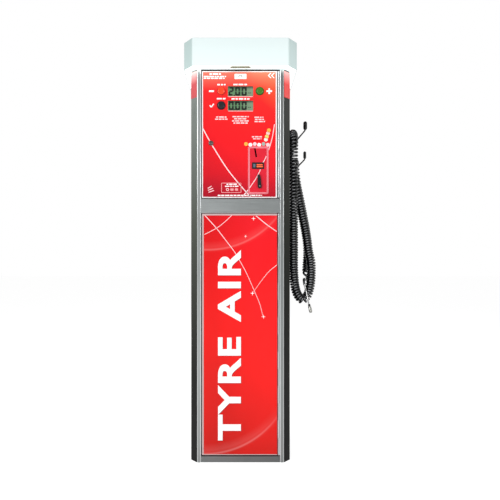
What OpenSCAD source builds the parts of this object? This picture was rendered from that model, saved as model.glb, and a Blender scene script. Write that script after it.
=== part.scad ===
// Forecourt tyre inflator column: a stainless framed cabinet with two decorated
// doors, a lit canopy, a coin unit, an inside compressor and a spiral air hose
// that hangs on two side hooks. Millimetres, +Z up, the front faces -Y, and the
// origin is the middle of the four floor anchors, on the floor.

/* [Cabinet] */
// Width over the side panels
body_w = 400; // [380:2:420]
// Depth from the front frame to the back panel
body_d = 400; // [390:2:430]
// Height of the front frame, floor to roof plate
frame_h = 1572; // [1566:1:1600]
// Width of each cut front corner, seen from the front
chamfer_w = 26; // [22:1:28]
// Depth of each cut front corner
chamfer_d = 28; // [24:1:32]
// Thickness of the casing sheets
sheet = 2; // [1.5:0.5:2.5]
// Width of the face of each stile
stile_w = 16; // [14:1:18]
// Depth of the frame sections, front to back
stile_d = 30; // [26:1:32]
// Wall of the frame sections
tube_wall = 1.5; // [1:0.5:2]
// Height of the bottom rail
bottom_rail_h = 26; // [20:1:30]
// Underside of the rail between the doors
mid_rail_z = 999; // [980:1:1010]
// Height of the rail between the doors
mid_rail_h = 57; // [50:1:62]
// Height of the rail behind the top of the upper door
top_rail_h = 26; // [20:1:30]
// Height of the red band at the top of the casing
band_h = 105; // [80:1:120]

/* [Canopy] */
// Half width of the canopy's front face
canopy_front_hw = 190; // [184:1:196]
// Half width of the canopy at its sides
canopy_side_hw = 227; // [220:1:234]
// How far the canopy stands out in front of the frame
canopy_overhang = 35; // [30:1:45]
// Depth of the canopy's cut front corners
canopy_chamfer_d = 50; // [40:1:60]
// How far the canopy stands out behind the back panel
canopy_back = 20; // [10:1:30]
// Height of the canopy
canopy_h = 110; // [90:1:130]
// Wall of the translucent canopy shell
canopy_wall = 4; // [3:0.5:5]
// Width of the oval lens under the canopy's front
lens_w = 84; // [60:2:90]
// Depth of that lens
lens_d = 24; // [18:1:26]

/* [Doors] */
// Gap between a door and the frame above, below and at the lock side
door_gap = 3; // [2:0.5:4]
// Depth of the door trays
pan_d = 18; // [14:1:20]
// Sheet of the door trays
pan_sheet = 1.5; // [1:0.5:2]
// Border of the tray left open round the decor panel
border = 4; // [3:0.5:6]
// Thickness of the decor panels
decor_t = 1.5; // [1:0.5:2]
// Outer radius of the hinge knuckles
knuckle_r = 3; // [2.5:0.5:3]
// Radius of the hinge pins
pin_r = 1.25; // [1:0.05:1.5]
// Knuckles on the upper hinge
upper_knuckles = 8; // [6:2:12]
// Knuckles on the lower hinge
lower_knuckles = 14; // [10:2:18]

/* [Panel] */
// Height of the first row of controls: first display, red and green buttons
row_1_z = 1485.5; // [1480:0.5:1490]
// Height of the second row: second display and black button
row_2_z = 1428; // [1422:0.5:1432]
// Distance of the buttons' axes from the middle
button_x = 77; // [75:1:82]
// Radius of a button's coloured cap
button_r = 14.2; // [12:0.2:14.6]
// Travel of a button
button_travel = 3; // [1:0.5:3]
// Width of a display window
lcd_w = 101; // [90:1:104]
// Height of a display window
lcd_h = 39; // [34:1:41]
// Sideways place of the lock
lock_x = -118; // [-122:1:-114]
// Height of the lock
lock_z = 1277; // [1260:1:1290]
// Length of the lock's cam from its axis
cam_l = 50; // [46:1:54]

/* [Coin unit] */
// Sideways middle of the coin plate
coin_x = 71; // [68:1:74]
// Width of the coin plate
coin_w = 82; // [80:1:88]
// Underside of the coin plate
coin_z0 = 1074; // [1070:1:1080]
// Height of the coin plate
coin_h = 190; // [186:1:194]
// Length of the coin slot
slot_l = 36; // [30:1:38]
// Width of the coin slot
slot_w = 6; // [5.5:0.5:7]
// Lean of the coin slot from upright, in degrees
slot_lean = 10; // [0:1:12]
// Travel of the coin return button
coin_travel = 2; // [1:0.5:3]
// Length of the reject lever between its end circles
lever_l = 42; // [36:1:46]

/* [Hose] */
// Outer diameter of the hose's coil
coil_od = 40; // [36:1:40]
// Diameter of the air tube itself
tube_d = 10; // [8:0.5:11]
// Radius of the hooks' rods
hook_rod_r = 3; // [2.5:0.5:3]

/* [Hidden] */
$fn = 48;

eps = 0.5;                     // how far a cutting shape runs past a face
side_x = body_w / 2;           // outer face of the side panels
front_y = -body_d / 2;         // front face of the frame
back_y = body_d / 2;           // outer face of the back panel
frame_x = side_x - chamfer_w;  // outer edge of the stiles
door_x = frame_x - stile_w;    // inner edge of the stiles

roof_t = 3;
canopy_z = frame_h + roof_t;
base_t = 6;
anchor_x = 150;                // floor anchors, from the middle
anchor_y = 150;
anchor_r = 6;

// Doors: tray fronts stand just behind the frame's face
pan_y = front_y + 2;
decor_y = pan_y - decor_t;
door_left = -door_x + door_gap + 1;
hinge_x = door_x - 5;          // axis of both door hinges
hinge_y = pan_y;
door_right = hinge_x - knuckle_r - 0.5;
upper_door_z0 = mid_rail_z + mid_rail_h + door_gap;
upper_door_z1 = frame_h - 2 * door_gap;
lower_door_z0 = bottom_rail_h + door_gap;
lower_door_z1 = mid_rail_z - door_gap;
leaf_w = 3;                    // width of a door's hinge leaf
leaf_t = 1.2;
decor_right = door_right - leaf_w - 6;
knuckle_gap = 0.4;
pin_play = 0.05;

// Buttons, from front to back
bezel_r = 17;
bezel_y = decor_y - 2;
shank_r = 15;
skirt_r = 12.2;
cap_play = 0.3;
step_y = decor_y + 0.5;        // floor of the recess that the cap sinks into
cap_back_y = step_y - 0.2 - button_travel;
cap_front_y = cap_back_y - 3.8;
shank_back_y = pan_y + 26;

// Coin unit
coin_plate_y = decor_y - 1.5;
slot_x = coin_x - 10.8;
slot_z = coin_z0 + 165.6;
coin_frame_w = 48;
coin_frame_h = 26;
coin_frame_z = coin_z0 + 113;
coin_button_x = coin_x - 15.6;
coin_button_w = 9.4;
coin_button_h = 14.4;
coin_frame_y = coin_plate_y - 2;
lever_x = coin_x + 2.6;
lever_z = coin_z0 + 72;
lever_lean = 4;
lever_shaft_r = 4;
mouth_w = 28;                  // funnel of the coin checker, behind the slot
mouth_h = 46;
validator_y0 = pan_y + 20;
validator_y1 = pan_y + 78;

// Lock
lock_r = 9.5;
lock_body_r = 8;
plug_r = 5.5;
cam_w = 12;
cam_t = 3;
cam_y = front_y + stile_d + 0.5;

// Inside the cabinet
fan_z = 1440;
fan_w = 120;
fan_t = 38;
fan_r = 57;
tank_r = 100;
tank_l = 190;
tank_z = 152;
tank_y = 60;
deck_z = 262;
deck_t = 5;
pump_x = 75;
motor_z = deck_z + deck_t + 68;
regulator_at = [130, 150, 1230];
knob_r = 18;
riser_x = 150;                 // upright pipe from tank to regulator
riser_r = 5;
riser_stub = 7;                // from the tank's port to the middle of the riser
gland_at = [-120, 120];
gland_bore_r = 6.5;

// Hooks: rod level, then up at a slope, then a soft tip
hook_y = -20;
upper_hook_z = 1329.5;
lower_hook_z = 1207.5;
upper_bend = [246, hook_y, upper_hook_z];
lower_bend = [244, hook_y, lower_hook_z];
upper_rod_end = [282, hook_y, 1372];
lower_rod_end = [280, hook_y, 1245];
upper_tip_r = 8.3;
lower_tip_r = 6.3;
upper_tip_l = 37;
lower_tip_l = 33;

// Hose: outlet elbow, the axis of the coil, the plain tail and the lance
outlet_at = [222, 55, 1150];
sleeve_top = 1190;
coil_route = [
    [222, 55, sleeve_top], [222, 55, 1240], [223, 53, 1290], [225, 38, 1326],
    [226, 10, 1348], [226, -20, 1354], [226, -50, 1347], [225, -79, 1324],
    [224, -93, 1290], [223, -95, 1240], [223, -95, 1150], [223, -95, 1050],
    [223, -95, 950], [223, -95, 850], [223, -95, 780], [225, -95, 735],
    [231, -93, 690], [243, -88, 658], [263, -80, 640], [283, -74, 656],
    [294, -70, 684], [300, -66, 718], [302, -62, 756], [302, -56, 798],
    [293, -50, 842], [287, -46, 890], [277, -46, 949], [265, -46, 1005],
    [249, -46, 1087], [239, -46, 1150], [234, -47, 1195], [233, -41, 1222],
    [233, -20, 1233], [233, 1, 1222], [235, 7, 1195], [246, 6, 1140],
    [262, 6, 1071], [284, 6, 956], [293, 7, 894], [296, 8, 840],
    [294, 8, 798], [292, 8, 770], [291.5, 6.5, 760], [290.8, 2, 750.5],
    [290, -5, 743], [289, -16, 734]
];
tail_route = [
    [288.8, -18.2, 732.2], [286.5, -28, 725.5], [282.5, -40, 721], [277, -52, 722],
    [272.5, -63, 726], [269.5, -73, 726], [268.5, -80.5, 720], [269.8, -84.9, 707.6]
];
lance_top = [270, -85, 706];
lance_end = [291, -134, 592];
ferrule_l = 8;
ring_at = 92;                  // start of the black ring, along the lance
chuck_at = 100;                // start of the chuck head
chuck_bore_r = 4.2;
chuck_bore_l = 16;

steel = [0.62, 0.64, 0.64];
graphite = [0.16, 0.17, 0.17];
red = [0.85, 0.11, 0.12];
black = [0.05, 0.05, 0.05];
white = [0.92, 0.95, 0.94];
alloy = [0.75, 0.76, 0.77];
zinc = [0.55, 0.57, 0.58];

// ---------- helpers ----------

// Outline with two cut front corners, drawn in by t
function cut_outline(front_hw, side_hw, front, back, cut_d, t = 0) =
    let (
        slope = cut_d / (side_hw - front_hw),
        reach = sqrt(1 + slope * slope),
        fx = front_hw - t * (reach - 1) / slope,
        sx = side_hw - t,
        sy = front + cut_d + t * (reach - slope)
    )
    [
        [-fx, front + t], [fx, front + t], [sx, sy], [sx, back - t],
        [-sx, back - t], [-sx, sy]
    ];

function unit(v) = v / norm(v);

function tangents(p) =
    [for (i = [0 : len(p) - 1])
        unit(p[min(i + 1, len(p) - 1)] - p[max(i - 1, 0)])];

// Sideways direction of each ring, carried along the route without twist
function carried(t, u, i = 0) =
    i == len(t) ? [] :
    let (v = unit(u - (u * t[i]) * t[i]))
    concat([v], carried(t, v, i + 1));

function ring(c, u, w, r, sides) =
    [for (k = [0 : sides - 1]) c + r * (cos(360 * k / sides) * u + sin(360 * k / sides) * w)];

// Tube of radius r whose rings lie on the route's own points
module sweep(route, r, sides) {
    t = tangents(route);
    u = carried(t, [0, 1, 0.01]);
    last = len(route) - 1;
    points = [for (i = [0 : last]) each ring(route[i], u[i], cross(t[i], u[i]), r, sides)];
    walls = [for (i = [0 : last - 1], k = [0 : sides - 1])
        let (n = (k + 1) % sides)
        [i * sides + k, (i + 1) * sides + k, (i + 1) * sides + n, i * sides + n]];
    start = [for (k = [0 : sides - 1]) k];
    end = [for (k = [sides - 1 : -1 : 0]) last * sides + k];
    polyhedron(points, concat([start], walls, [end]));
}

// Places children with +Z running from p towards q
module along(p, q) {
    d = q - p;
    translate(p)
        rotate([0, acos(d.z / norm(d)), atan2(d.y, d.x)])
            children();
}

module bar(p, q, r) {
    along(p, q)
        cylinder(h = norm(q - p), r = r);
}

// Pipe through a list of points with a fitting ball at each turn
module pipe(points, r) {
    for (i = [0 : len(points) - 2])
        bar(points[i], points[i + 1], r);
    for (i = [1 : len(points) - 2])
        translate(points[i]) sphere(r = r + 1.5);
}

// Box between two x, two y and two z values
module block(x, y, z) {
    translate([x[0], y[0], z[0]])
        cube([x[1] - x[0], y[1] - y[0], z[1] - z[0]]);
}

// Cylinder along Y from y0 to y1
module rod_y(x, z, y0, y1, r) {
    translate([x, y1, z])
        rotate([90, 0, 0])
            cylinder(h = y1 - y0, r = r);
}

// Rectangle with true round corners, centred
module round_rect(w, h, r) {
    square([w - 2 * r, h], center = true);
    square([w, h - 2 * r], center = true);
    for (x = [-1, 1], y = [-1, 1])
        translate([x * (w / 2 - r), y * (h / 2 - r)]) circle(r = r);
}

module tube_section(w, h) {
    difference() {
        round_rect(w, h, 2.5);
        square([w - 2 * tube_wall, h - 2 * tube_wall], center = true);
    }
}

// Frame section lying along X, given its y and z limits
module cross_rail(y, z) {
    translate([-door_x, (y[0] + y[1]) / 2, (z[0] + z[1]) / 2])
        rotate([90, 0, 90])
            linear_extrude(height = 2 * door_x)
                tube_section(y[1] - y[0], z[1] - z[0]);
}

// ---------- casing and frame ----------

module base_plate() {
    color(zinc)
        difference() {
            block([sheet - side_x, side_x - sheet], [front_y + stile_d, back_y - sheet], [0, base_t]);
            for (x = [-anchor_x, anchor_x], y = [-anchor_y, anchor_y])
                translate([x, y, -eps]) cylinder(h = base_t + 2 * eps, r = anchor_r);
            translate([gland_at.x, gland_at.y, -eps])
                cylinder(h = base_t + 2 * eps, r = 10);
        }
}

module cladding_profile() {
    slope = chamfer_d / chamfer_w;
    wall = sheet * sqrt(1 + slope * slope);
    polygon([
        [frame_x, front_y], [side_x, front_y + chamfer_d], [side_x, back_y],
        [side_x - sheet, back_y], [side_x - sheet, front_y + chamfer_d - slope * sheet + wall],
        [frame_x + sheet, front_y + slope * sheet + wall], [frame_x + sheet, front_y + stile_d],
        [frame_x, front_y + stile_d]
    ]);
}

module cladding() {
    linear_extrude(height = frame_h) cladding_profile();
}

module left_cladding() {
    color(graphite)
        mirror([1, 0, 0]) cladding();
}

module right_cladding() {
    color(graphite)
        difference() {
            cladding();
            translate([side_x - 2 * sheet, outlet_at.y, outlet_at.z])
                rotate([0, 90, 0]) cylinder(h = 4 * sheet, r = 10);
        }
}

module vent_slots(z0, count) {
    for (i = [0 : count - 1])
        block([-90, 90], [back_y - 2 * sheet, back_y + eps], [z0 + 18 * i, z0 + 18 * i + 6]);
}

module back_panel() {
    inner_x = side_x - sheet;
    color(graphite)
        difference() {
            block([-inner_x, inner_x], [back_y - sheet, back_y], [0, frame_h]);
            vent_slots(120, 12);
            vent_slots(760, 6);
            for (i = [0 : 5])
                block([-48, 48], [back_y - 2 * sheet, back_y + eps],
                    [fan_z - 50 + 18 * i, fan_z - 40 + 18 * i]);
        }
}

module stile() {
    translate([frame_x - stile_w / 2, front_y + stile_d / 2, 0])
        linear_extrude(height = frame_h) tube_section(stile_w, stile_d);
}

module left_stile() {
    color(steel) mirror([1, 0, 0]) stile();
}

module right_stile() {
    color(steel) stile();
}

module top_rail() {
    color(steel)
        cross_rail([pan_y + pan_d + 4, pan_y + pan_d + stile_d], [frame_h - top_rail_h, frame_h]);
}

module mid_rail() {
    color(steel)
        cross_rail([front_y, front_y + stile_d], [mid_rail_z, mid_rail_z + mid_rail_h]);
}

module bottom_rail() {
    color(steel)
        cross_rail([front_y, front_y + stile_d], [0, bottom_rail_h]);
}

module shelf() {
    inner_x = side_x - sheet;
    z0 = mid_rail_z + 26;
    color(zinc)
        difference() {
            block([-inner_x, inner_x], [front_y + stile_d, back_y - sheet], [z0, z0 + sheet]);
            translate([riser_x, regulator_at.y, z0 - eps])
                cylinder(h = sheet + 2 * eps, r = riser_r + 3);
            translate([-riser_x, regulator_at.y, z0 - eps])
                cylinder(h = sheet + 2 * eps, r = 15);
        }
}

module roof_plate() {
    color(zinc)
        translate([0, 0, frame_h])
            linear_extrude(height = roof_t)
                polygon(cut_outline(frame_x, side_x, front_y, back_y, chamfer_d));
}

// Thin red film round the cut corner and the side, below the roof
module band() {
    film = 0.8;
    gap = 5;
    slope = chamfer_d / chamfer_w;
    wall = film * sqrt(1 + slope * slope);
    translate([0, 0, frame_h - gap - band_h])
        linear_extrude(height = band_h)
            polygon([
                [frame_x + 0.5, front_y + 0.5 * slope], [side_x, front_y + chamfer_d],
                [side_x, back_y], [side_x + film, back_y],
                [side_x + film, front_y + chamfer_d + slope * film - wall],
                [frame_x + 0.5, front_y + 0.5 * slope - wall]
            ]);
}

module left_band() {
    color(red) mirror([1, 0, 0]) band();
}

module right_band() {
    color(red) band();
}

// ---------- canopy ----------

function canopy_outline(t) =
    cut_outline(canopy_front_hw, canopy_side_hw, front_y - canopy_overhang,
        back_y + canopy_back, canopy_chamfer_d, t);

lens_y = front_y - canopy_overhang / 2;

module oval(w, d) {
    square([w - d, d], center = true);
    for (x = [-1, 1])
        translate([x * (w - d) / 2, 0]) circle(d = d);
}

module canopy_shell() {
    color(white, 0.8)
        translate([0, 0, canopy_z])
            difference() {
                linear_extrude(height = canopy_h) polygon(canopy_outline(0));
                translate([0, 0, -eps])
                    linear_extrude(height = canopy_h - canopy_wall + eps)
                        polygon(canopy_outline(canopy_wall));
            }
}

module canopy_underside() {
    color(white, 0.9)
        translate([0, 0, canopy_z])
            linear_extrude(height = 3)
                difference() {
                    polygon(canopy_outline(canopy_wall));
                    translate([0, lens_y]) oval(lens_w, lens_d);
                }
}

module canopy_lens() {
    color([0.45, 0.5, 0.42])
        translate([0, lens_y, canopy_z - 1])
            linear_extrude(height = 5) oval(lens_w, lens_d);
}

module led_strips() {
    z = [canopy_z + 3, canopy_z + 6];
    strip_y = front_y - canopy_overhang + canopy_wall + 2;
    color("gold") {
        block([-130, -lens_w / 2 - 4], [strip_y, strip_y + 10], z);
        block([lens_w / 2 + 4, 130], [strip_y, strip_y + 10], z);
        for (x = [-205, 195])
            block([x, x + 10], [-140, 180], z);
    }
}

// ---------- door hinges ----------

// Knuckle i of n between z0 and z1
module knuckle(z0, z1, n, i) {
    pitch = (z1 - z0) / n;
    translate([hinge_x, hinge_y, z0 + i * pitch + knuckle_gap / 2])
        cylinder(h = pitch - knuckle_gap, r = knuckle_r);
}

// Leaf on the stile, its knuckles and the pin
module hinge_frame(z0, z1, n) {
    pitch = (z1 - z0) / n;
    block([door_x - leaf_t, door_x], [hinge_y + 1, hinge_y + 22], [z0, z1]);
    for (i = [0 : 2 : n - 1]) {
        knuckle(z0, z1, n, i);
        block([hinge_x + 1, door_x], [hinge_y - 1, hinge_y + 1],
            [z0 + i * pitch + knuckle_gap / 2, z0 + (i + 1) * pitch - knuckle_gap / 2]);
    }
    translate([hinge_x, hinge_y, z0 + 1]) cylinder(h = z1 - z0 - 2, r = pin_r);
}

// Leaf on the door with the knuckles between
module hinge_door(z0, z1, n) {
    pitch = (z1 - z0) / n;
    difference() {
        union() {
            block([door_right - leaf_w, door_right], [hinge_y - leaf_t, hinge_y], [z0, z1]);
            for (i = [1 : 2 : n - 1]) {
                knuckle(z0, z1, n, i);
                block([door_right - 1, hinge_x - 1], [hinge_y - leaf_t, hinge_y],
                    [z0 + i * pitch + knuckle_gap / 2, z0 + (i + 1) * pitch - knuckle_gap / 2]);
            }
        }
        translate([hinge_x, hinge_y, z0 - eps])
            cylinder(h = z1 - z0 + 2 * eps, r = pin_r + pin_play);
    }
}

module upper_hinge_frame() {
    color(alloy) hinge_frame(upper_door_z0, upper_door_z1, upper_knuckles);
}

module upper_hinge_door() {
    color(alloy) hinge_door(upper_door_z0, upper_door_z1, upper_knuckles);
}

module lower_hinge_frame() {
    color(alloy) hinge_frame(lower_door_z0, lower_door_z1, lower_knuckles);
}

module lower_hinge_door() {
    color(alloy) hinge_door(lower_door_z0, lower_door_z1, lower_knuckles);
}

// ---------- doors ----------

// Tray with turned-back edges, open at the back
module tray(z0, z1) {
    difference() {
        block([door_left, door_right], [pan_y, pan_y + pan_d], [z0, z1]);
        block([door_left + pan_sheet, door_right - pan_sheet],
            [pan_y + pan_sheet, pan_y + pan_d + eps], [z0 + pan_sheet, z1 - pan_sheet]);
    }
}

module slot_cut(y0, y1, play) {
    translate([slot_x, y1, slot_z])
        rotate([90, -slot_lean, 0])
            linear_extrude(height = y1 - y0)
                square([slot_w + 2 * play, slot_l + 2 * play], center = true);
}

// Everything that passes through the skin of the upper door
module panel_cuts(y0, y1) {
    for (z = [row_1_z, row_2_z])
        block([-lcd_w / 2 - 0.5, lcd_w / 2 + 0.5], [y0, y1], [z - lcd_h / 2 - 0.5, z + lcd_h / 2 + 0.5]);
    for (at = [[-button_x, row_1_z], [button_x, row_1_z], [-button_x, row_2_z]])
        rod_y(at[0], at[1], y0, y1, shank_r + 0.2);
    rod_y(lock_x, lock_z, y0, y1, lock_body_r + 0.1);
    coin_cuts(y0, y1);
}

module coin_cuts(y0, y1) {
    slot_cut(y0, y1, 0);
    block([coin_x - 1 - coin_frame_w / 2 + 3, coin_x - 1 + coin_frame_w / 2 - 3], [y0, y1],
        [coin_frame_z - coin_frame_h / 2 + 3, coin_frame_z + coin_frame_h / 2 - 3]);
    rod_y(lever_x, lever_z, y0, y1, lever_shaft_r + pin_play);
}

module upper_door_pan() {
    color(white)
        difference() {
            tray(upper_door_z0, upper_door_z1);
            panel_cuts(pan_y - eps, pan_y + 4);
            block([slot_x - mouth_w / 2 - 0.5, slot_x + mouth_w / 2 + 0.5], [pan_y - eps, pan_y + 4],
                [slot_z - mouth_h / 2 - 0.5, slot_z + mouth_h / 2 + 0.5]);
        }
}

module upper_decor() {
    color(red)
        difference() {
            block([door_left + border, decor_right], [decor_y, pan_y],
                [upper_door_z0 + border, upper_door_z1 - border]);
            panel_cuts(decor_y - eps, pan_y + eps);
        }
}

module lower_door_pan() {
    rib = 25;
    back = pan_y + pan_d;
    color(white) {
        tray(lower_door_z0, lower_door_z1);
        for (z = [300, 700])
            block([door_left + pan_sheet, door_right - pan_sheet], [pan_y + pan_sheet, back], [z, z + rib]);
    }
}

module lower_decor() {
    color(red)
        block([door_left + 2 * border - 1, door_right - leaf_w - 0.5], [decor_y, pan_y],
            [lower_door_z0 + border, lower_door_z1 - 2 * border]);
}

// ---------- controls on the upper door ----------

module display(z) {
    color([0.4, 0.5, 0.42]) {
        block([-lcd_w / 2, lcd_w / 2], [decor_y + 0.2, pan_y + 6],
            [z - lcd_h / 2, z + lcd_h / 2]);
        block([-lcd_w / 2 - 5, lcd_w / 2 + 5], [pan_y + pan_sheet, pan_y + 16],
            [z - lcd_h / 2 - 5, z + lcd_h / 2 + 5]);
    }
}

module display_upper() {
    display(row_1_z);
}

module display_lower() {
    display(row_2_z);
}

module control_board() {
    z0 = row_2_z - 40;
    z1 = row_1_z + 40;
    y0 = pan_y + 30;
    color("darkgreen") {
        block([-100, 100], [y0, y0 + 1.6], [z0, z1]);
        for (x = [-94, 94], z = [z0 + 6, z1 - 6])
            rod_y(x, z, pan_y + pan_sheet, y0, 3);
        block([-40, 10], [y0 + 1.6, y0 + 14], [z0 + 50, z0 + 80]);
        block([40, 85], [y0 + 1.6, y0 + 20], [z0 + 12, z0 + 34]);
        block([-85, -50], [y0 + 1.6, y0 + 24], [z0 + 70, z0 + 100]);
    }
}

module button_bezel(x, z) {
    difference() {
        union() {
            rod_y(x, z, bezel_y, decor_y, bezel_r);
            rod_y(x, z, decor_y - 0.1, shank_back_y, shank_r);
        }
        rod_y(x, z, bezel_y - eps, step_y, button_r + cap_play);
        rod_y(x, z, bezel_y, shank_back_y - 3, skirt_r + cap_play);
    }
}

module button_bezels() {
    color(alloy) {
        button_bezel(-button_x, row_1_z);
        button_bezel(button_x, row_1_z);
        button_bezel(-button_x, row_2_z);
    }
}

module button_cap(x, z) {
    rod_y(x, z, cap_front_y, cap_back_y, button_r);
    rod_y(x, z, cap_back_y - 0.1, cap_back_y + 14, skirt_r);
}

module red_button() {
    color(red) button_cap(-button_x, row_1_z);
}

module green_button() {
    color("green") button_cap(button_x, row_1_z);
}

module black_button() {
    color(black) button_cap(-button_x, row_2_z);
}

// ---------- coin unit on the upper door ----------

module coin_plate() {
    color(red)
        difference() {
            translate([coin_x, decor_y, coin_z0 + coin_h / 2])
                rotate([90, 0, 0])
                    linear_extrude(height = decor_y - coin_plate_y)
                        round_rect(coin_w, coin_h, 7);
            coin_cuts(coin_plate_y - eps, decor_y + eps);
        }
}

module coin_frame() {
    cx = coin_x - 1;
    back = pan_y + 16;
    color(black)
        difference() {
            union() {
                block([cx - coin_frame_w / 2, cx + coin_frame_w / 2], [coin_frame_y, coin_plate_y],
                    [coin_frame_z - coin_frame_h / 2, coin_frame_z + coin_frame_h / 2]);
                block([cx - coin_frame_w / 2 + 3.2, cx + coin_frame_w / 2 - 3.2], [coin_plate_y, back],
                    [coin_frame_z - coin_frame_h / 2 + 3.2, coin_frame_z + coin_frame_h / 2 - 3.2]);
            }
            block([coin_button_x - coin_button_w / 2 - cap_play,
                coin_button_x + coin_button_w / 2 + cap_play],
                [coin_frame_y - eps, back + eps],
                [coin_frame_z - coin_button_h / 2 - cap_play, coin_frame_z + coin_button_h / 2 + cap_play]);
            block([cx - 7, cx + 20], [coin_frame_y - eps, coin_frame_y + 1],
                [coin_frame_z - 7.5, coin_frame_z + 7.5]);
        }
}

module coin_button() {
    color([0.35, 0.42, 0.5])
        block([coin_button_x - coin_button_w / 2, coin_button_x + coin_button_w / 2],
            [coin_frame_y - coin_travel - 0.5, pan_y + 12],
            [coin_frame_z - coin_button_h / 2, coin_frame_z + coin_button_h / 2]);
}

// Checks coins: mouth behind the slot, body, and a chute open at the bottom
module coin_validator() {
    color([0.2, 0.2, 0.22])
        difference() {
            union() {
                block([coin_x - 40, coin_x + 38], [validator_y0, validator_y1],
                    [coin_z0 + 92, coin_z0 + 188]);
                block([slot_x - mouth_w / 2, slot_x + mouth_w / 2], [pan_y, validator_y0],
                    [slot_z - mouth_h / 2, slot_z + mouth_h / 2]);
            }
            slot_cut(pan_y - eps, validator_y1 - 6, 0.5);
            block([slot_x + 6, slot_x + 12], [validator_y0 + 8, validator_y1 - 6],
                [coin_z0 + 92 - eps, slot_z - slot_l / 2 + 6]);
        }
}

// Tapered finger piece that hangs from its shaft, leaning a little
module reject_lever() {
    top_r = 5.5;
    end_r = 8;
    front = coin_plate_y - 6;
    color(black) {
        translate([lever_x, coin_plate_y - 0.5, lever_z])
            rotate([90, -lever_lean, 0])
                linear_extrude(height = coin_plate_y - 0.5 - front) {
                    circle(r = top_r);
                    translate([0, -lever_l]) circle(r = end_r);
                    polygon([[-top_r, 0], [top_r, 0], [end_r, -lever_l], [-end_r, -lever_l]]);
                }
        rod_y(lever_x, lever_z, front + 1, validator_y0 - 2, lever_shaft_r);
    }
}

// ---------- lock ----------

module lock_barrel() {
    color(alloy)
        difference() {
            union() {
                rod_y(lock_x, lock_z, decor_y - 4, decor_y, lock_r);
                rod_y(lock_x, lock_z, decor_y - 0.1, cam_y - 1, lock_body_r);
            }
            rod_y(lock_x, lock_z, decor_y - 5, cam_y, plug_r);
        }
}

// Turning plug with its cam; the cam hangs down when the lock is open
module lock_plug() {
    face = decor_y - 4.4;
    color(alloy)
        difference() {
            union() {
                rod_y(lock_x, lock_z, face, cam_y + cam_t, plug_r - pin_play);
                block([lock_x - cam_w / 2, lock_x + cam_w / 2], [cam_y, cam_y + cam_t],
                    [lock_z - cam_l, lock_z + 7]);
            }
            block([lock_x - 0.8, lock_x + 0.8], [face - eps, face + 8], [lock_z - 3.5, lock_z + 3.5]);
        }
}

// ---------- inside the cabinet ----------

module fan_housing() {
    y1 = back_y - sheet;
    y0 = y1 - fan_t;
    color(black)
        difference() {
            block([-fan_w / 2, fan_w / 2], [y0, y1], [fan_z - fan_w / 2, fan_z + fan_w / 2]);
            difference() {
                rod_y(0, fan_z, y0 - eps, y1 + eps, fan_r);
                rod_y(0, fan_z, y0 - 1, y0 + 5, 20);
                for (a = [0 : 120 : 240])
                    translate([0, y0 - 1, fan_z])
                        rotate([0, a, 0]) block([-3, 3], [0, 6], [0, fan_r + 1]);
            }
        }
}

module fan_rotor() {
    y0 = back_y - sheet - fan_t + 7;
    blade_l = fan_r - 3;
    color(black) {
        rod_y(0, fan_z, y0, y0 + 22, 19);
        for (a = [0 : 360 / 7 : 359])
            translate([0, y0 + 11, fan_z])
                rotate([0, a, 0])
                    rotate([0, 0, 32])
                        translate([-13, -1, 17]) cube([26, 2, blade_l - 17]);
    }
}

module power_supply() {
    z0 = 1140;
    y1 = back_y - sheet;
    color(alloy)
        difference() {
            block([-160, -60], [y1 - 45, y1], [z0, z0 + 190]);
            for (i = [0 : 7])
                block([-150, -70], [y1 - 46, y1 - 43], [z0 + 20 + 20 * i, z0 + 26 + 20 * i]);
        }
}

module valve_block() {
    y1 = back_y - sheet;
    z0 = 1180;
    color(alloy) {
        block([-30, 70], [y1 - 40, y1], [z0, z0 + 32]);
        for (x = [-20, 30])
            block([x, x + 30], [y1 - 36, y1 - 6], [z0 + 32, z0 + 75]);
    }
}

module regulator() {
    p = regulator_at;
    color(alloy)
        difference() {
            union() {
                translate([p.x, p.y, p.z - 30]) cylinder(h = 60, r = 22);
                block([p.x - 15, p.x + 15], [p.y + 10, back_y - sheet], [p.z - 15, p.z + 15]);
            }
            translate([p.x, p.y, p.z + 18]) cylinder(h = 14, r = 6);
        }
}

module regulator_knob() {
    p = regulator_at;
    flutes = 12;
    color(black)
        difference() {
            union() {
                translate([p.x, p.y, p.z + 30.3]) cylinder(h = 24, r = knob_r);
                translate([p.x, p.y, p.z + 19]) cylinder(h = 12, r = 6 - pin_play);
            }
            for (a = [0 : 360 / flutes : 359])
                translate([p.x + (knob_r + 1.5) * cos(a), p.y + (knob_r + 1.5) * sin(a), p.z + 34])
                    cylinder(h = 22, r = 3);
        }
}

module air_pipes() {
    p = regulator_at;
    valve_z = 1190;
    valve_y = back_y - sheet - 20;
    tank_port = [riser_x, tank_y, tank_z + 40];
    color("steelblue") {
        pipe([tank_port - [riser_stub, 0, 0], tank_port, [riser_x, p.y, tank_port.z],
            [riser_x, p.y, p.z - 60], [p.x, p.y, p.z - 60], [p.x, p.y, p.z - 30]], riser_r);
        pipe([[p.x - 22, p.y, p.z - 20], [90, p.y, p.z - 20], [90, p.y, valve_z + 10],
            [90, valve_y, valve_z + 10], [70, valve_y, valve_z + 10]], riser_r - 1);
        pipe([[50, back_y - sheet - 40, valve_z], [50, outlet_at.y, valve_z],
            [50, outlet_at.y, outlet_at.z], [185, outlet_at.y, outlet_at.z]], riser_r - 1);
    }
}

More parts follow.
